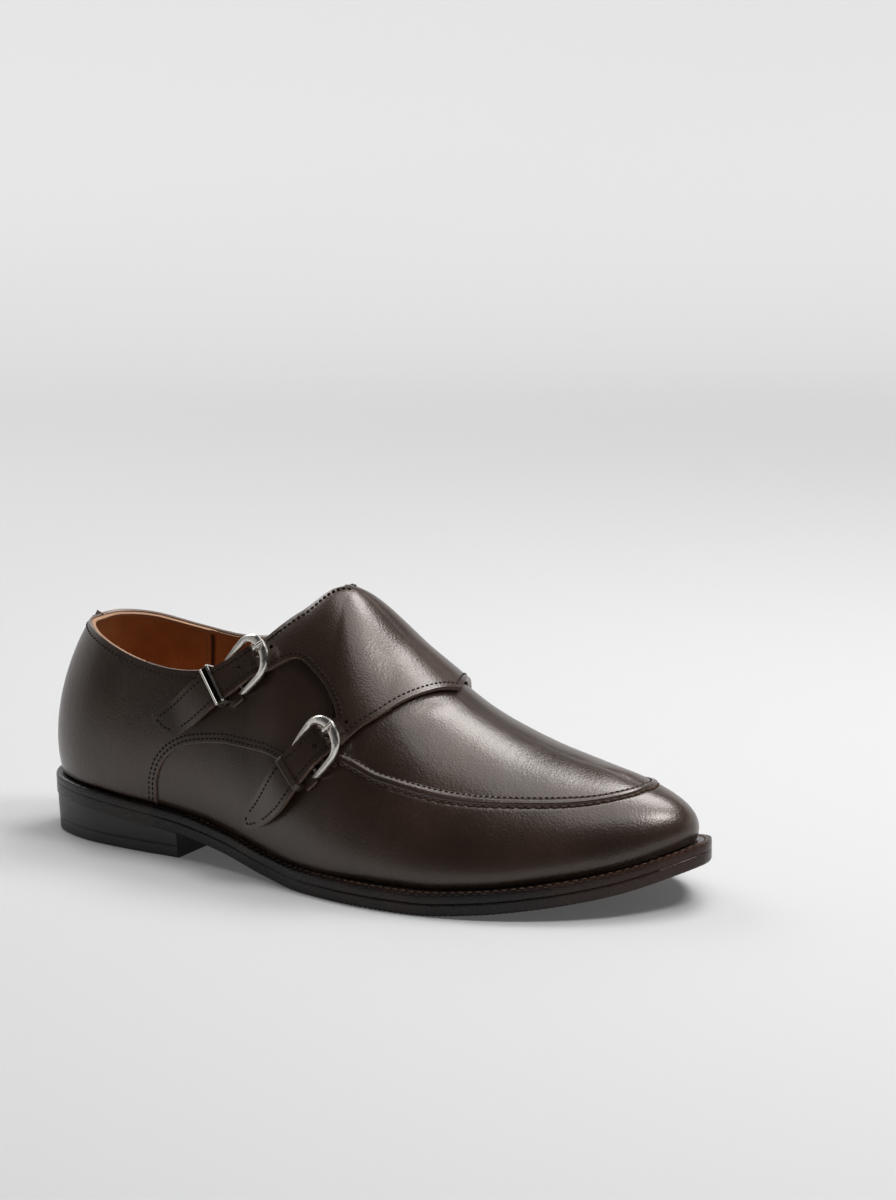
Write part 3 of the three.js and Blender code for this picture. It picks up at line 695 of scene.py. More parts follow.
# ------------------------------------------------------------------ vamp
# One piece of dark brown calf drawn over the last, from under the quarters round the toe. It lies
# a leather's thickness lower than they do, and creases softly where the foot bends.
VAMP_TOP = -0.8
VAMP_START = 3.4
FLEX_PLACE = (0.038, -0.044, 0.036)  # metres, where the leather creases most


def calf(at):
    """Smooth aniline-dyed calf: a dark brown that clouds slightly, a fine pebble of rounded cells
    with hair pores, and a waxed surface that is duller where the grain is open. Where its mark is 1
    it is cut, and the edge is painted paler: partly the cut edge's own tone, partly a painted highlight along
    it."""
    cloud = at.noise(30, 3, 0.55)
    cells = at.add("ShaderNodeTexVoronoi", {"Vector": at, "Scale": 1250.0}, out="Distance",
                   feature="SMOOTH_F1")
    pores = at.noise(2600, 2)
    wrinkle = at.stretched(1, 0.5, 0.5).noise(260, 4, 0.6)
    flex = at.add("ShaderNodeVectorMath", {0: at, 1: FLEX_PLACE}, out=1, operation="DISTANCE")
    crazed = at.stretched(1, 0.6, 0.45).noise(750, 4, 0.65).ramp(0.42, 0.62) * flex.ramp(0.022, 0.004)
    dyed = cloud.ramp(0.3, 0.75).mix((0.023, 0.0125, 0.0080, 1), (0.041, 0.0225, 0.0145, 1))
    return {
        # Cut edges: a paler brown that is partly the edge's own tone and partly a painted highlight.
        "Base Color": marked(at).ramp(0.8, 1.0).mix(dyed, (0.15, 0.10, 0.075, 1)),
        "Roughness": cloud * 0.10 + pores * 0.06 + 0.22,
        "bump": cells * 0.00007 + pores * 0.00002 + wrinkle * 0.00011 + cloud * 0.0003 + crazed * 0.00006,
    }


calf_brown = finish("calf_dark_brown", calf, Specular_IOR_Level=0.62, Specular_Tint=(1, 0.9, 0.83, 1),
                    Coat_Weight=0.2, Coat_Roughness=0.2)
# Rows of the apron's seam on the last: t of its outer and inner edge along the ribs, on each side.
APRON = table("s outer_lateral inner_lateral outer_medial inner_medial", [
    [8.2, 0.372, 0.405, 0.42, 0.455],
    [9.0, 0.395, 0.430, 0.435, 0.47],
    [9.8, 0.428, 0.470, 0.455, 0.50],
    [10.6, 0.469, 0.517, 0.475, 0.525],
    [11.3, 0.517, 0.570, 0.495, 0.55],
    [12.0, 0.563, 0.625, 0.525, 0.59],
    [12.7, 0.622, 0.683, 0.585, 0.65],
    [13.4, 0.700, 0.770, 0.68, 0.745],
    [14.2, 0.790, 0.850, 0.775, 0.84],
    [15.0, 0.812, 0.893, 0.812, 0.893],
])
GROOVE_DEPTH, GROOVE_HALF = 0.7, 0.9
CREASES = [
    # from x y z, to x y z, depth, half width
    ((176, -46, 38), (186, -30, 56), 0.18, 2.6),
    ((184, -49, 30), (192, -34, 47), 0.14, 2.2),
    ((192, -50, 24), (196, -46, 34), 0.11, 1.6),
    ((199, -50, 22), (203, -46, 33), 0.10, 1.5),
    ((187, -22, 68), (197, -4, 72), 0.28, 3.0),
    ((189, 6, 74), (184, 30, 60), 0.28, 3.0),
    ((186, 40, 42), (192, 44, 26), 0.22, 2.4),
]


def crease_depth(points):
    """Depth of the creases at points: each is a trough along a line, a bell curve of the distance
    over its half width less a flatter bell for the swell beside it, that fades towards both ends."""
    depth = np.zeros(len(points))
    for start, end, deep, half in CREASES:
        a, run = np.array(start, float), np.subtract(end, start)
        share = ((points - a) @ run) / (run @ run)
        inside = np.clip(share, 0, 1)
        bent = a + inside[:, None] * run
        gap = np.linalg.norm(points - bent, axis=1)
        fade = np.sin(np.pi * np.clip(0.15 + 0.7 * inside, 0, 1))
        depth += deep * fade * (np.exp(-(gap / half)**2) - 0.35 * np.exp(-((gap - 2 * half) / half)**2))
    return depth


def apron_row(name):
    """Points and normals of one row of the seam, from the outer side round the toe to the inner."""
    rows, s = [], APRON["s"]
    fine = np.linspace(0, len(s) - 1, 240)
    at_s = through(s, fine, 2 * s[-1] - s)
    for side, column in ((LATERAL, f"{name}_lateral"), (MEDIAL, f"{name}_medial")):
        at_t = through(APRON[column], fine)
        rows.append((last_point(side, at_s, at_t), last_normal(side, at_s, at_t)))
    (path, normals), (back, back_normals) = rows
    path = np.concatenate([path, back[-2::-1]])
    normals = np.concatenate([normals, back_normals[-2::-1]])
    walked = lengths(path)
    even = np.linspace(0, walked[-1], 420)
    return along(path, walked, even), along(normals, walked, even)


outer_row, outer_normals = apron_row("outer")
grid = grid_of(np.linspace(VAMP_START, LAST_RIB, 240), np.linspace(-0.015, 1, 96))
points, faces = sheet([(LATERAL, grid), (MEDIAL, grid)])
groove = GROOVE_DEPTH * np.exp(-(distance_to(points, outer_row[::2]) / GROOVE_HALF)**2)
# Below the collar's front end the vamp rises until it is almost level with the quarters.
facing_height = 0.65 * ease(points[:, 2], 62, 84) * (1 - ease(points[:, 0], 150, 164))
top = VAMP_TOP + facing_height - crease_depth(points) - groove
points, faces = thicken(points, faces, -VAMP_LEATHER + 0.05, top)
add_piece("vamp_calf", points, faces, calf_brown, "upper_leather", ["upper"])

# ------------------------------------------------------------------ apron seam
# The apron on top of the vamp is sewn in with a raised seam: a roll about 4 mm wide, high outside and
# almost flush inside, with a row of stitches along each side, the outer in longer, paler thread.
ROLL_HEIGHT = 0.95
inner_row, inner_normals = apron_row("inner")
v = np.linspace(-0.04, 1.14, 25)[:, None]
roll = ROLL_HEIGHT * ease(v, -0.02, 0.22) * (1 - 0.85 * ease(v, 0.5, 1.0)) - 0.6 * ease(v, 1.02, 1.14) - 0.1
line = outer_row[:, None] * (1 - v) + inner_row[:, None] * v
up = outer_normals[:, None] * (1 - v) + inner_normals[:, None] * v
over = line + up * (VAMP_TOP + roll)
under = line[:, ::-1] + up[:, ::-1] * (VAMP_TOP - 0.5)
rings = np.concatenate([over, under, over[:, :1]], axis=1)
add_piece("apron_seam", *swept(rings, (0, -1)), calf_brown, "upper_leather", crease=60)
dark_thread = finish("thread_dark", waxed_thread((0.010, 0.007, 0.006, 1), (0.030, 0.019, 0.014, 1)),
                     Specular_IOR_Level=0.15)
outer_line = outer_row * 1.06 - inner_row * 0.06 + outer_normals * (VAMP_TOP - 0.1)
sew("apron_stitches_outer", [stitches(outer_line, outer_normals, 3.3, 2.7, 1.05)], brown_thread)
inner_line = inner_row * 0.93 + outer_row * 0.07 + inner_normals * (VAMP_TOP + 0.08)
sew("apron_stitches_inner", [stitches(inner_line, inner_normals, 2.3, 1.65, 0.8)], dark_thread)

# ------------------------------------------------------------------ quarters
# The outer quarter: calf from the heel's seam to under the instep flap, its lower edge curving up
# from the welt and then forward over the vamp, double-stitched. Its cut edges are paler, partly their own
# tone and partly a painted highlight.
QUARTER_TOP = 0.2


def edge(rows, steps):
    """Evenly spaced places on a smooth curve through a few (s, t), t counting four times as much as
    s; the curve is a Catmull-Rom one whose end points are doubled."""
    rows = np.array(rows, float) * [1, 4]
    if len(rows) == 2:
        fine = rows[0] + np.linspace(0, 1, 50)[:, None] * (rows[1] - rows[0])
    else:
        padded = np.concatenate([rows[:1], rows, rows[-1:]])
        u = np.linspace(0, len(rows) - 1, 400)
        i = np.minimum(u.astype(int), len(rows) - 2)
        f = (u - i)[:, None]
        fine = cubic(*[padded[i + k] for k in range(4)], f)
    walked = lengths(fine)
    found = along(fine, walked, np.linspace(0, walked[-1], steps + 1)) / [1, 4]
    return np.minimum(found, [np.inf, 1])


def joined(*lines):
    """Lines end to end, without repeating the points where they meet."""
    return np.concatenate([lines[0], *[line[1:] for line in lines[1:]]])


def fill(near, far, first, last):
    """Coons patch: the straight blend of near and far, plus that of first and last, minus that of
    the four corners."""
    u = np.linspace(0, 1, len(near))[None, :, None]
    v = np.linspace(0, 1, len(first))[:, None, None]
    crosswise = (1 - v) * near[None] + v * far[None]
    lengthwise = (1 - u) * first[:, None] + u * last[:, None]
    corners = ((1 - v) * ((1 - u) * near[0] + u * near[-1]) + v * ((1 - u) * far[0] + u * far[-1]))
    return crosswise + lengthwise - corners


def round_heel(front):
    """Patch from the heel's seam forward to a line up the side, from the welt to the collar."""
    return fill(edge([[0, 0], [3.94, 0]], 70), edge([[0, 1], [4.8, 1]], 70),
                edge([[0, 0], [0, 1]], len(front) - 1), front)


def cut_leather(name, points, faces, low, high, replaces=()):
    """Piece of calf over a sheet, between two heights, its points at the sheet's edges marked 1, where the
    calf paints a paler edge that is partly a painted highlight.
    """
    mark = np.zeros(len(points))
    mark[open_edges(faces)[0]] = 1
    points, faces = thicken(points, faces, low, high)
    return add_piece(name, points, faces, calf_brown, "upper_leather", replaces, mark=np.tile(mark, 2))


def round_edges(piece, width, segments=3):
    """Rounds a piece's sharp edges with a bevel of the given width in millimetres."""
    bevel = piece.modifiers.new("rounded", "BEVEL")
    bevel.width, bevel.segments = width / 1000, segments
    bevel.limit_method, bevel.angle_limit = "ANGLE", math.radians(50)
    bevel.use_clamp_overlap = True


QUARTER_RISE = [[3.94, 0], [3.96, 0.1], [3.98, 0.2], [4.08, 0.33], [4.3, 0.43], [4.6, 0.49]]
QUARTER_RUN = [[4.6, 0.49], [4.96, 0.515], [5.44, 0.52], [5.92, 0.50], [6.43, 0.465], [7.12, 0.41],
               [8.05, 0.45]]
split = edge([[4.6, 0.49], [4.8, 1]], 46)
rear = round_heel(joined(edge(QUARTER_RISE, 44), split))
front = fill(edge(QUARTER_RUN, 90), edge([[4.8, 1], [8, 1]], 90), split,
             edge([[8.05, 0.45], [8.1, 0.7], [8, 1]], 46))
points, faces = sheet([(LATERAL, rear), (LATERAL, front)])
round_edges(cut_leather("quarter_outer", points, faces, -OUTER_LEATHER, QUARTER_TOP), 0.45)


def seam(side, rows, inset, height, trim=(0, 0)):
    """Line for stitches: a curve on the last, moved square to itself in the surface by inset (to the
    left of its direction seen from outside), and lifted by height, a number or a function of the
    place. Trim leaves out that much at its ends."""
    places = edge(rows, 300)
    path = last_point(side, places[:, 0], places[:, 1])
    normals = last_normal(side, places[:, 0], places[:, 1])
    path = path + np.cross(normals, unit(np.gradient(path, axis=0))) * inset
    walked = lengths(path)
    kept = (walked >= trim[0]) & (walked <= walked[-1] - trim[1])
    lifted = height(path) if callable(height) else height
    return (path + normals * np.reshape(lifted, (-1, 1)))[kept], normals[kept]


def seams_of(rows, height):
    """Stitches along each row: its side, curve, inset and trim."""
    return [stitches(*seam(side, line, inset, height, trim), pitch=2.25, length=1.65, width=0.85)
            for side, line, inset, trim in rows]


ROW_HEIGHT = 0.02
lower_edge = QUARTER_RISE + QUARTER_RUN[1:]
rows = [
    (LATERAL, lower_edge, 1.7, (1, 8)),
    (LATERAL, lower_edge, 3.7, (1, 8)),
    (LATERAL, [[0.35, 1], [2, 1], [4, 1], [6.3, 1]], -2.8, (0, 0)),
]
sew("quarter_stitches", seams_of(rows, QUARTER_TOP + ROW_HEIGHT), dark_thread)

# ------------------------------------------------------------------ instep flap and straps
# The inner quarter is one piece of calf from the heel's seam over the instep. It ends in the thick
# front edge over the vamp and in two straps on the outer side, with a window between them.
STRAP = 2.0
LIFT_OVER_BAR = 2.6
PRONG_HOLE = 14.0
BUCKLES = {
    "upper": {"x": 109.8, "z": 78.8, "angle": math.radians(40)},
    "lower": {"x": 151.7, "z": 52.2, "angle": math.radians(46)},
}
ROOT_UPPER = [[6.5, 1], [6.62, 0.89], [6.67, 0.78]]
WINDOW = [[6.67, 0.78], [7.12, 0.75], [7.64, 0.63], [8.09, 0.54], [8.21, 0.5]]
ROOT_LOWER = [[8.21, 0.5], [8.27, 0.47], [8.33, 0.44]]
FRONT_OUTER = [[8.33, 0.44], [8.55, 0.5], [8.99, 0.63], [9.44, 0.8], [9.84, 1]]
FRONT_INNER = [[8.57, 0.33], [8.93, 0.46], [9.14, 0.59], [9.38, 0.73], [9.84, 1]]
INNER_RISE = [[3.94, 0], [3.96, 0.1], [4.0, 0.2], [4.15, 0.3], [4.5, 0.37]]
INNER_HEM = [[4.5, 0.37], [5.2, 0.385], [6.0, 0.37], [7, 0.33], [7.7, 0.305], [8.3, 0.3], [8.57, 0.33]]
STRAPS = {
    "upper": {
        "root": ROOT_UPPER,
        "above": [[6.5, 1], [6, 0.985], [5.6, 0.975], [5.2, 0.97], [4.93, 0.945], [4.51, 0.865],
                  [3.79, 0.65]],
        "below": [[6.67, 0.78], [6.07, 0.785], [5.56, 0.745], [5.11, 0.685], [4.42, 0.55]],
        "end": [[3.79, 0.65], [3.88, 0.6], [4.15, 0.55], [4.42, 0.55]],
    },
    "lower": {
        "root": ROOT_LOWER,
        "above": [[8.21, 0.5], [7.9, 0.465], [7.39, 0.438], [6.91, 0.395], [6.12, 0.22]],
        "below": [[8.33, 0.44], [8.1, 0.392], [7.79, 0.352], [7.33, 0.285], [6.5, 0.16]],
        "end": [[6.12, 0.22], [6.05, 0.17], [6.15, 0.125], [6.5, 0.16]],
    },
}
QUARTER_TO_FLAP = (78, 122)  # x where the inner quarter goes over into the flap


def strap_rise(points):
    """Height added where a strap runs over its tab, bar and prong: full from the keeper to past the
    bar, little under the frame's front and none at the strap's end."""
    rise = np.zeros(len(points))
    for buckle in BUCKLES.values():
        dx, dz = points[:, 0] - buckle["x"], points[:, 2] - buckle["z"]
        cos, sin = math.cos(buckle["angle"]), math.sin(buckle["angle"])
        q, v = dx * cos + dz * sin, dz * cos - dx * sin
        here = LIFT_OVER_BAR * ease(q, -36, -11) * (1 - ease(q, PRONG_HOLE - 4.7, PRONG_HOLE + 1.4))
        rise = np.maximum(rise, here * (np.abs(v) < 13) * (points[:, 1] < 0))
    return rise


def flap_heights(points):
    """Heights of the flap's lower and upper face: it lies on the vamp in front and becomes the inner
    quarter towards the heel."""
    rise = strap_rise(points)
    inner = (points[:, 1] > 0) * (1 - ease(points[:, 0], *QUARTER_TO_FLAP))
    low = GAP + rise * (1 - inner) - (GAP + OUTER_LEATHER) * inner
    return low, (GAP + STRAP + rise) * (1 - inner) + QUARTER_TOP * inner


ROOT, HEM, ROWS, LENGTH = 20, 44, 66, 84
root_line = joined(edge(ROOT_UPPER, ROOT), edge(WINDOW, HEM), edge(ROOT_LOWER, ROOT))
crest = edge([[8, 1], [9.84, 1]], len(root_line) - 1)
instep = fill(root_line, crest, edge([[6.5, 1], [8, 1]], ROWS), edge(FRONT_OUTER, ROWS))
inner_split = edge([[4.5, 0.37], [4.8, 1]], ROWS)
inner_top = joined(edge([[4.8, 1], [8, 1]], 70), crest)
inner = fill(edge(INNER_HEM, len(inner_top) - 1), inner_top, inner_split, edge(FRONT_INNER, ROWS))
inner_heel = round_heel(joined(edge(INNER_RISE, 34), inner_split))
patches = [(LATERAL, instep), (MEDIAL, inner), (MEDIAL, inner_heel)]
for strap in STRAPS.values():
    patches.append((LATERAL, fill(edge(strap["root"], ROOT), edge(strap["end"], ROOT),
                                  edge(strap["above"], LENGTH), edge(strap["below"], LENGTH))))
points, faces = sheet(patches)
flap = cut_leather("instep_flap_calf", points, faces, *flap_heights(points), ["instep_flap"])

# The prong goes through a slot; a round hole lies on either side of it, so far ahead of the bar.
HOLE_RADIUS, SLOT_HALF = 1.5, 2.7
PUNCH_RADIUS = 0.95
PUNCHED = {"upper": (3.3, 18.9), "lower": (6.6, 21.6)}


def seat(x, z):
    """Points on the outer side of the last seen at (x, z) from the side, by Newton's method."""
    x, z = np.broadcast_arrays(np.asarray(x, float), np.asarray(z, float))
    s, t = np.interp(x, (RIBS["x"] + RIBS["top_x"]) / 2, np.arange(LAST_RIB + 1)), np.full(x.shape, 0.5)
    d = 1e-3
    for _ in range(20):
        p = last_point(LATERAL, s, t)
        ps, pt = (last_point(LATERAL, s + d, t) - p) / d, (last_point(LATERAL, s, t + d) - p) / d
        det = ps[..., 0] * pt[..., 2] - ps[..., 2] * pt[..., 0]
        dx, dz = x - p[..., 0], z - p[..., 2]
        s = s + (dx * pt[..., 2] - dz * pt[..., 0]) / det
        t = t + (dz * ps[..., 0] - dx * ps[..., 2]) / det
    return last_point(LATERAL, s, t)


def beside_bar(buckle, q, v):
    """Place on the last q along the strap from the buckle's bar and v across it."""
    cos, sin = math.cos(buckle["angle"]), math.sin(buckle["angle"])
    return seat(buckle["x"] + q * cos - v * sin, buckle["z"] + q * sin + v * cos)


def on_buckle(buckle, points, place=0.0, shift=0.0):
    """Moves points drawn at a buckle's bar (x forward along the strap, y across it, z outward) to the
    shoe, or to a place further back along the strap."""
    ahead = 9 if place == 0 else 3
    forward = beside_bar(buckle, place + ahead, shift) - beside_bar(buckle, place - 3, shift)
    up = beside_bar(buckle, place, shift + 5) - beside_bar(buckle, place, shift - 8)
    forward = unit(forward)
    outward = unit(np.cross(forward, up))
    axes = np.stack([forward, np.cross(outward, forward), outward])
    return points @ axes + beside_bar(buckle, place, shift)


def punch(piece, holes):
    """Cuts holes (buckle, q, half length, half width) out of a piece and keeps the result as its
    mesh."""
    angle = np.append(np.arange(24), 0) * np.pi / 12
    tools = []
    for buckle, q, length, width in holes:
        oval = np.stack([q + length * np.cos(angle), width * np.sin(angle), 0 * angle], -1)
        ends = [on_buckle(buckle, oval + [0, 0, height]) for height in (-0.4, 12)]
        tools.append(swept(np.stack(ends), (0, -1)))
    tool = add_piece("punch", *merge(*tools), calf_brown)
    cut = piece.modifiers.new("holes", "BOOLEAN")
    cut.operation, cut.object, cut.solver = "DIFFERENCE", tool, "EXACT"
    bpy.context.view_layer.update()
    result = bpy.data.meshes.new_from_object(piece.evaluated_get(bpy.context.evaluated_depsgraph_get()))
    piece.modifiers.clear()
    piece.data = result
    bpy.data.objects.remove(tool)


holes = []
for name, buckle in BUCKLES.items():
    holes.append((buckle, PRONG_HOLE, SLOT_HALF, HOLE_RADIUS))
    holes += [(buckle, q, PUNCH_RADIUS, PUNCH_RADIUS) for q in PUNCHED[name]]
punch(flap, holes)
round_edges(flap, 0.85, 4)


def on_flap(points):
    """Height of thread that lies on the flap."""
    return flap_heights(points)[1] + ROW_HEIGHT


inner_edge = INNER_RISE + INNER_HEM[1:]
rows = [
    (LATERAL, FRONT_OUTER, 2.3, (2, 0)),
    (MEDIAL, FRONT_INNER, -2.3, (2.2, 0)),
    (LATERAL, WINDOW, 2.2, (0, 0)),
    (LATERAL, [[6.3, 1], [7.2, 1], [8, 1]], -2.6, (0, 0)),
    (MEDIAL, [[0.35, 1], [2, 1], [5, 1], [8, 1]], 2.6, (0, 0)),
    (MEDIAL, inner_edge, -1.8, (1, 1)),
    (MEDIAL, inner_edge, -3.8, (1, 1)),
]
for strap in STRAPS.values():
    rows += [(LATERAL, strap["above"], 2.1, (0, 2.2)), (LATERAL, strap["below"], -2.1, (0, 2.2)),
             (LATERAL, strap["end"], 2.1, (2, 2))]
runs = seams_of(rows, on_flap)
for k in range(3):
    tack = [[8.42, 0.40 + 0.012 * k], [8.8, 0.445 + 0.012 * k]]
    runs.append(stitches(*seam(MEDIAL, tack, 0, on_flap), pitch=1.7, length=1.3, width=0.6))
sew("flap_stitches", runs, dark_thread)

# ------------------------------------------------------------------ back stay
# A narrow strip of calf over the heel's seam, skived thin at its sides and a little wider at the
# collar, just below which it ends.
STAY_FOOT, STAY_FLARE, STAY_THICK = 3.6, 2.6, 0.4


def facing(grid, axis):
    """Sheet over a grid of points, its faces towards the negative end of an axis."""
    points, faces = grid.reshape(-1, 3), quads(*grid.shape[:2])
    return points, faces[:, ::-1] if sheet_normals(points, faces)[:, axis].sum() > 0 else faces


across, height = np.meshgrid(np.linspace(-1, 1, 33), np.linspace(0, 0.992, 110), indexing="ij")
half = STAY_FOOT + STAY_FLARE * height**7
stride = last_point(LATERAL, 0.3, height) - last_point(LATERAL, 0, height)
s = np.abs(across) * half * 0.3 / np.linalg.norm(stride, axis=-1)
outward = (across < 0)[..., None]
strip = np.where(outward, last_point(LATERAL, s, height), last_point(MEDIAL, s, height))
normals = np.where(outward, last_normal(LATERAL, s, height), last_normal(MEDIAL, s, height))
skived = STAY_THICK * (1 - np.abs(across.reshape(-1))**16) + 0.03
points, faces = thicken(*facing(strip + normals * QUARTER_TOP, 0), 0.02, skived)
round_edges(add_piece("back_stay", points, faces, calf_brown, "upper_leather"), 0.3)

# ------------------------------------------------------------------ buckles
# Horseshoe frames of nickel-plated zinc: a bevelled band, broad at the front and tapering down its
# two legs, with a bar behind, on which the prong hinges.
FRAME_REACH, FRAME_HALF, FRAME_INSIDE = 20.0, 10.0, 7.5
FRAME_LEAN, FRAME_SEAT, BAR = 0.29, 0.95, 1.6


def polished(at):
    """Nickel plate with a slight haze; dark enamel where its mark is 1."""
    haze = at.noise(420, 3)
    plate = haze.mix((0.56, 0.53, 0.485, 1), (0.74, 0.71, 0.66, 1))
    return {"Base Color": marked(at).ramp(0.3, 0.7).mix(plate, (0.022, 0.017, 0.014, 1)),
            "Roughness": haze.ramp(0.35, 0.8) * 0.12 + 0.19, "bump": haze * 0.00001}


nickel = finish("nickel_polished", polished, Metallic=1.0)
BAND = np.array([  # share from the outer line to the inner, height as a share of the thickness
    [0, 0.1], [0, 0.5], [0.05, 0.68], [0.2, 0.93], [0.27, 1.0], [0.72, 0.97], [0.8, 0.9], [0.95, 0.62],
    [1, 0.5], [1, 0.1], [0.93, 0], [0.07, 0],
])


def horseshoe(half, front, bow, steps):
    """Outline from one leg's end round the front to the other: the legs widen a little towards the
    front, which is half an ellipse about the same width."""
    leg = np.linspace(0, 1, steps)[:-1]
    start = FRAME_REACH - FRAME_HALF
    down = np.stack([-2.2 + (start + 2.2) * leg, -(half - bow * (1 - leg)**2)], -1)
    angle = np.linspace(-np.pi / 2, np.pi / 2, 2 * steps + 1)
    nose = np.stack([start + front * np.cos(angle), half * np.sin(angle)], -1)
    up = np.stack([down[::-1, 0], -down[::-1, 1]], -1)
    return np.concatenate([down, nose, up])


def tube(path, radii, up, sides=12):
    """Round rod along a path with a radius for each point; up keeps its section from turning."""
    ahead = unit(np.gradient(path, axis=0))
    beside = unit(np.cross(ahead, up))
    above = np.cross(beside, ahead)
    angle = np.linspace(0, 2 * np.pi, sides + 1)
    rings = (path[:, None] + radii[:, None, None] * (beside[:, None] * np.cos(angle)[:, None]
                                                     + above[:, None] * np.sin(angle)[:, None]))
    return swept(rings, (0, -1))


def lean(points):
    """Tips a buckle's frame up at the front and sets it on the shoe."""
    x, y, z = points.T
    cos, sin = math.cos(FRAME_LEAN), math.sin(FRAME_LEAN)
    return np.stack([x * cos - z * sin, y, x * sin + z * cos + FRAME_SEAT], -1)


outer_line = horseshoe(FRAME_HALF + 0.3, FRAME_HALF + 0.3, 1.0, 24)
inner_line = horseshoe(FRAME_INSIDE, FRAME_HALF - 4.5, 0.5, 24)
place = np.linspace(0, 1, len(outer_line))[:, None]
narrowed = 0.35 + 0.65 * np.minimum(1, place * (1 - place) * 60)
middle = (outer_line + inner_line) / 2
outer_line = middle + (outer_line - middle) * narrowed
inner_line = middle + (inner_line - middle) * narrowed
share, rise = BAND[:, 0], BAND[:, 1] * (BAR + 0.3)
flat = outer_line[:, None] * (1 - share[:, None]) + inner_line[:, None] * share[:, None]
rings = np.concatenate([flat, np.broadcast_to(rise[:, None], flat.shape[:2] + (1,))], -1)
band = swept(np.concatenate([rings, rings[:, :1]], axis=1), (0, -1))
bar_line = np.stack([np.zeros(12), np.linspace(-8.6, 8.6, 12), np.full(12, BAR / 2)], -1)
bar = tube(bar_line, np.full(12, BAR / 2), np.array([0, 0, 1.0]))
front = FRAME_REACH - 0.6
tip_height = FRAME_SEAT + front * math.sin(FRAME_LEAN) + BAR + 1.15
prong_path = np.array([[1.9, 1.75], [PRONG_HOLE - 3.4, 1.3], [PRONG_HOLE - 1.4, 1.5], [PRONG_HOLE - 0.3, 4.2],
                       [front - 4.6, tip_height - 0.5], [front, tip_height]])
prong_line = np.stack([through(column, np.linspace(0, 5, 60)) for column in prong_path.T], -1)
rod = tube(np.insert(prong_line, 1, 0.0, axis=1), np.full(60, 0.78) - 0.12 * np.linspace(0, 1, 60)**6,
           np.array([0, 1.0, 0]))
points, faces = merge(band, bar)
for name, buckle in BUCKLES.items():
    add_piece(f"frame_{name}", on_buckle(buckle, lean(points)), faces, nickel, "buckle_metal",
              [f"buckle_frame_{name}"], crease=28)
    add_piece(f"prong_{name}", on_buckle(buckle, rod[0]), rod[1], nickel, "buckle_metal",
              [f"buckle_prong_{name}"], crease=50)

# ------------------------------------------------------------------ buckle tabs
# Short leather tabs that go round each bar and are stitched to the quarter; their lower corners
# show under the straps.
TAB = 1.3
for name, buckle in BUCKLES.items():
    q, v = np.meshgrid(np.linspace(-7.2, -1.6, 12), np.linspace(-9.9, 6, 26), indexing="ij")
    round_edges(cut_leather(f"tab_{name}", *facing(beside_bar(buckle, q, v), 1), QUARTER_TOP + 0.05,
                            GAP + TAB, [f"buckle_tab_{name}"]), 0.35)

# ------------------------------------------------------------------ keepers
# A polished metal loop holds the upper strap's end, dark enamel between the raised rims along its
# edges; the lower strap has a narrow leather loop instead.
STRAP_HALF = 7.0
LOOP_TOP = GAP + LIFT_OVER_BAR + STRAP
KEEPERS = {
    "upper": {"place": -9.9, "shift": 1.5, "width": 4.2, "band": 0.9, "room": 0.7, "corner": 0.5,
              "rim": 0.3},
    "lower": {"place": -8.9, "shift": 0, "width": 3.0, "band": 0.65, "room": 0.12, "corner": 1.6,
              "rim": 0.0},
}


def loop(half, low, top, corner, steps=8):
    """Closed rectangle with rounded corners across the strap, as y and z."""
    angle = np.linspace(0, np.pi / 2, steps)
    parts = []
    for k, (y, z) in enumerate([(half, top), (-half, top), (-half, low), (half, low)]):
        turn = angle + k * np.pi / 2
        centre = np.array([y - np.sign(y) * corner, z - (corner if z == top else -corner)])
        parts.append(centre + corner * np.stack([np.cos(turn), np.sin(turn)], -1))
    line = np.concatenate(parts)
    return np.concatenate([line, line[:1]])


for name, keeper in KEEPERS.items():
    width, thick, rim = keeper["width"], keeper["band"], keeper["rim"]
    top, beside = LOOP_TOP + keeper["room"], STRAP_HALF + 0.5 + keeper["room"]
    outside = loop(beside + thick, 0.5, top + thick, keeper["corner"] + 0.6)
    inside = loop(beside, 0.5 + thick, top, keeper["corner"])
    section = np.array([
        [-0.5, 0.0], [-0.5, 0.8], [-0.42, 1.0], [-0.30, 1.0], [-0.24, 1 - rim], [0, 1 - rim * 0.9],
        [0.24, 1 - rim], [0.30, 1.0], [0.42, 1.0], [0.5, 0.8], [0.5, 0.0]])
    wide, high = section[:, 0] * width, section[:, 1]
    flat = inside[:, None] * (1 - high[:, None]) + outside[:, None] * high[:, None]
    rings = np.concatenate([np.broadcast_to(wide[None, :, None], flat.shape[:2] + (1,)), flat], -1)
    points, faces = swept(np.concatenate([rings, rings[:, :1]], axis=1))
    points = on_buckle(BUCKLES[name], points, keeper["place"], keeper["shift"])
    metal = name == "upper"
    face = np.append(np.abs(section[:, 0]) < 0.27, False) * (outside[:, 1:] > top) * 1.0 * metal
    add_piece(f"keeper_loop_{name}", points, faces, nickel if metal else calf_brown,
              "buckle_metal" if metal else "upper_leather", [f"keeper_{name}"], crease=30,
              mark=face.reshape(-1))

# ------------------------------------------------------------------ floor, light and camera
# A pale paper sweep, flat to 1.7 m and then rising. It is darker in front, which keeps the outer side
# in shade, and glows faintly behind and on its front brim, so that it looks evenly pale. Soft lamps
# hang above, behind the inner side, over the toe and past the heel.
SWEEP_RADIUS, SWEEP_FLAT, SWEEP_RISE = 3.4, 0.5, 1.9


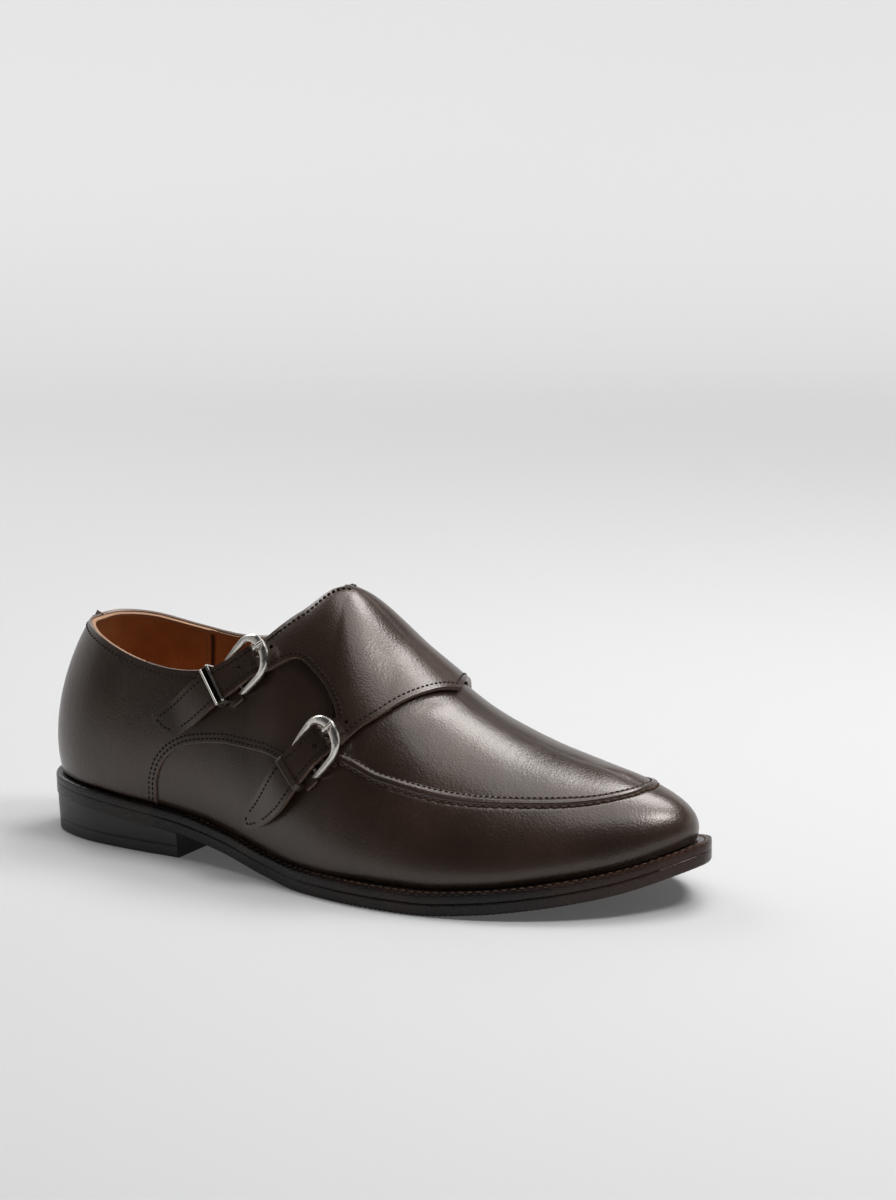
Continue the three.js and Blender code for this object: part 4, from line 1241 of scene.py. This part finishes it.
def bowl(rings=40, sectors=96):
    """Disc with a raised brim: flat inside, then an ellipse's quarter upward."""
    share = np.concatenate([[0.001], np.linspace(0.1, 1, rings)])[:, None]
    angle = np.linspace(0, 2 * np.pi, sectors + 1)
    climb = np.clip((share - SWEEP_FLAT) / (1 - SWEEP_FLAT), 0, 1)
    z = SWEEP_RISE * (1 - np.sqrt(1 - (0.99 * climb)**2)) + 0 * angle
    x, y = SWEEP_RADIUS * share * np.cos(angle), SWEEP_RADIUS * share * np.sin(angle)
    return np.stack([x, y, z], -1).reshape(-1, 3), quads(rings + 1, sectors + 1)


def paper(at):
    """Dark grey in front and pale from the shoe on; its glow grows with distance and towards the back,
    and a band of the front brim glows too."""
    far = at.add("ShaderNodeVectorMath", {0: at}, out=1, operation="LENGTH").ramp(0.5, 2.6)
    behind = at.add("ShaderNodeVectorMath", {0: at, 1: (-0.35, 0.94, 0)}, out=1, operation="DOT_PRODUCT")
    near = behind.ramp(-0.95, -0.33)
    rise = at.add("ShaderNodeSeparateXYZ", {"Vector": at}, out=2)
    brim = rise.ramp(0.02, 0.3) * rise.ramp(0.9, 0.5) * behind.ramp(-0.5, -1.5)
    bright = behind.ramp(-0.9, 1.2) * far * 0.57 + near * 0.05 + brim * 0.12 + 0.02
    return {"Base Color": near.mix((0.08, 0.08, 0.08, 1), (0.54, 0.54, 0.54, 1)),
            "Emission Color": bright.mix((0, 0, 0, 1), (1, 1, 1, 1))}


backdrop = bpy.data.meshes.new("paper_sweep")
points, faces = bowl()
backdrop.from_pydata(points.tolist(), [], faces.tolist())
backdrop.shade_smooth()
backdrop.materials.append(finish("paper_pale", paper, Roughness=0.9,
                                 Emission_Strength=1.0, Specular_IOR_Level=0.1))
floor = bpy.data.objects.new("paper_sweep", backdrop)
bpy.context.scene.collection.objects.link(floor)


def softbox(name, position, target, size, watts):
    """Rectangular lamp at a position, facing its target."""
    lamp = bpy.data.lights.new(name, "AREA")
    lamp.shape, lamp.size, lamp.size_y, lamp.energy = "RECTANGLE", *size, watts
    body = bpy.data.objects.new(name, lamp)
    toward = Vector(position) - Vector(target)
    body.matrix_world = Matrix.Translation(position) @ toward.to_track_quat("Z", "Y").to_matrix().to_4x4()
    bpy.context.scene.collection.objects.link(body)


softbox("dome", (0.25, 0.25, 1.32), (0, 0, 0.05), (1.4, 1.2), 12)
softbox("core", (0.2, 0.62, 1.18), (0.04, 0, 0.06), (0.65, 0.45), 7.5)
softbox("toe", (0.79, 0.07, 1.16), (0.13, 0, 0.04), (0.3, 0.3), 6.5)
softbox("key", (-1.1, 0.45, 1.0), (0, 0, 0.04), (0.9, 0.7), 7)
world = bpy.data.worlds.new("studio")
world.use_nodes = True
world.node_tree.nodes["Background"].inputs["Color"].default_value = (0.94, 0.96, 1.0, 1)
world.node_tree.nodes["Background"].inputs["Strength"].default_value = 0.05
bpy.context.scene.world = world
bpy.context.scene.view_settings.view_transform = "Standard"

# The view is from the outer side, 30 degrees round towards the toe and 11 above level.
AZIMUTH, ELEVATION, ROLL = math.radians(29.97), math.radians(11.04), math.radians(-0.99)
DISTANCE, AIM = 1118.5, np.array([191.57, 0, 111.7])
ahead = np.array([-math.sin(AZIMUTH) * math.cos(ELEVATION), math.cos(AZIMUTH) * math.cos(ELEVATION),
                  -math.sin(ELEVATION)])
level = np.array([math.cos(AZIMUTH), math.sin(AZIMUTH), 0])
above = np.cross(level, ahead)
right = level * math.cos(ROLL) + above * math.sin(ROLL)
upright = above * math.cos(ROLL) - level * math.sin(ROLL)
where = (AIM - ahead * DISTANCE + ORIGIN) / 1000
lens = bpy.data.cameras.new("camera")
lens.lens, lens.sensor_width, lens.clip_start = 84.95, 36, 0.05
camera = bpy.data.objects.new("camera", lens)
turned = Matrix([[*row] for row in np.stack([right, upright, -ahead], 1)]).to_4x4()
camera.matrix_world = Matrix.Translation(where.tolist()) @ turned
bpy.context.scene.collection.objects.link(camera)
bpy.context.scene.camera = camera
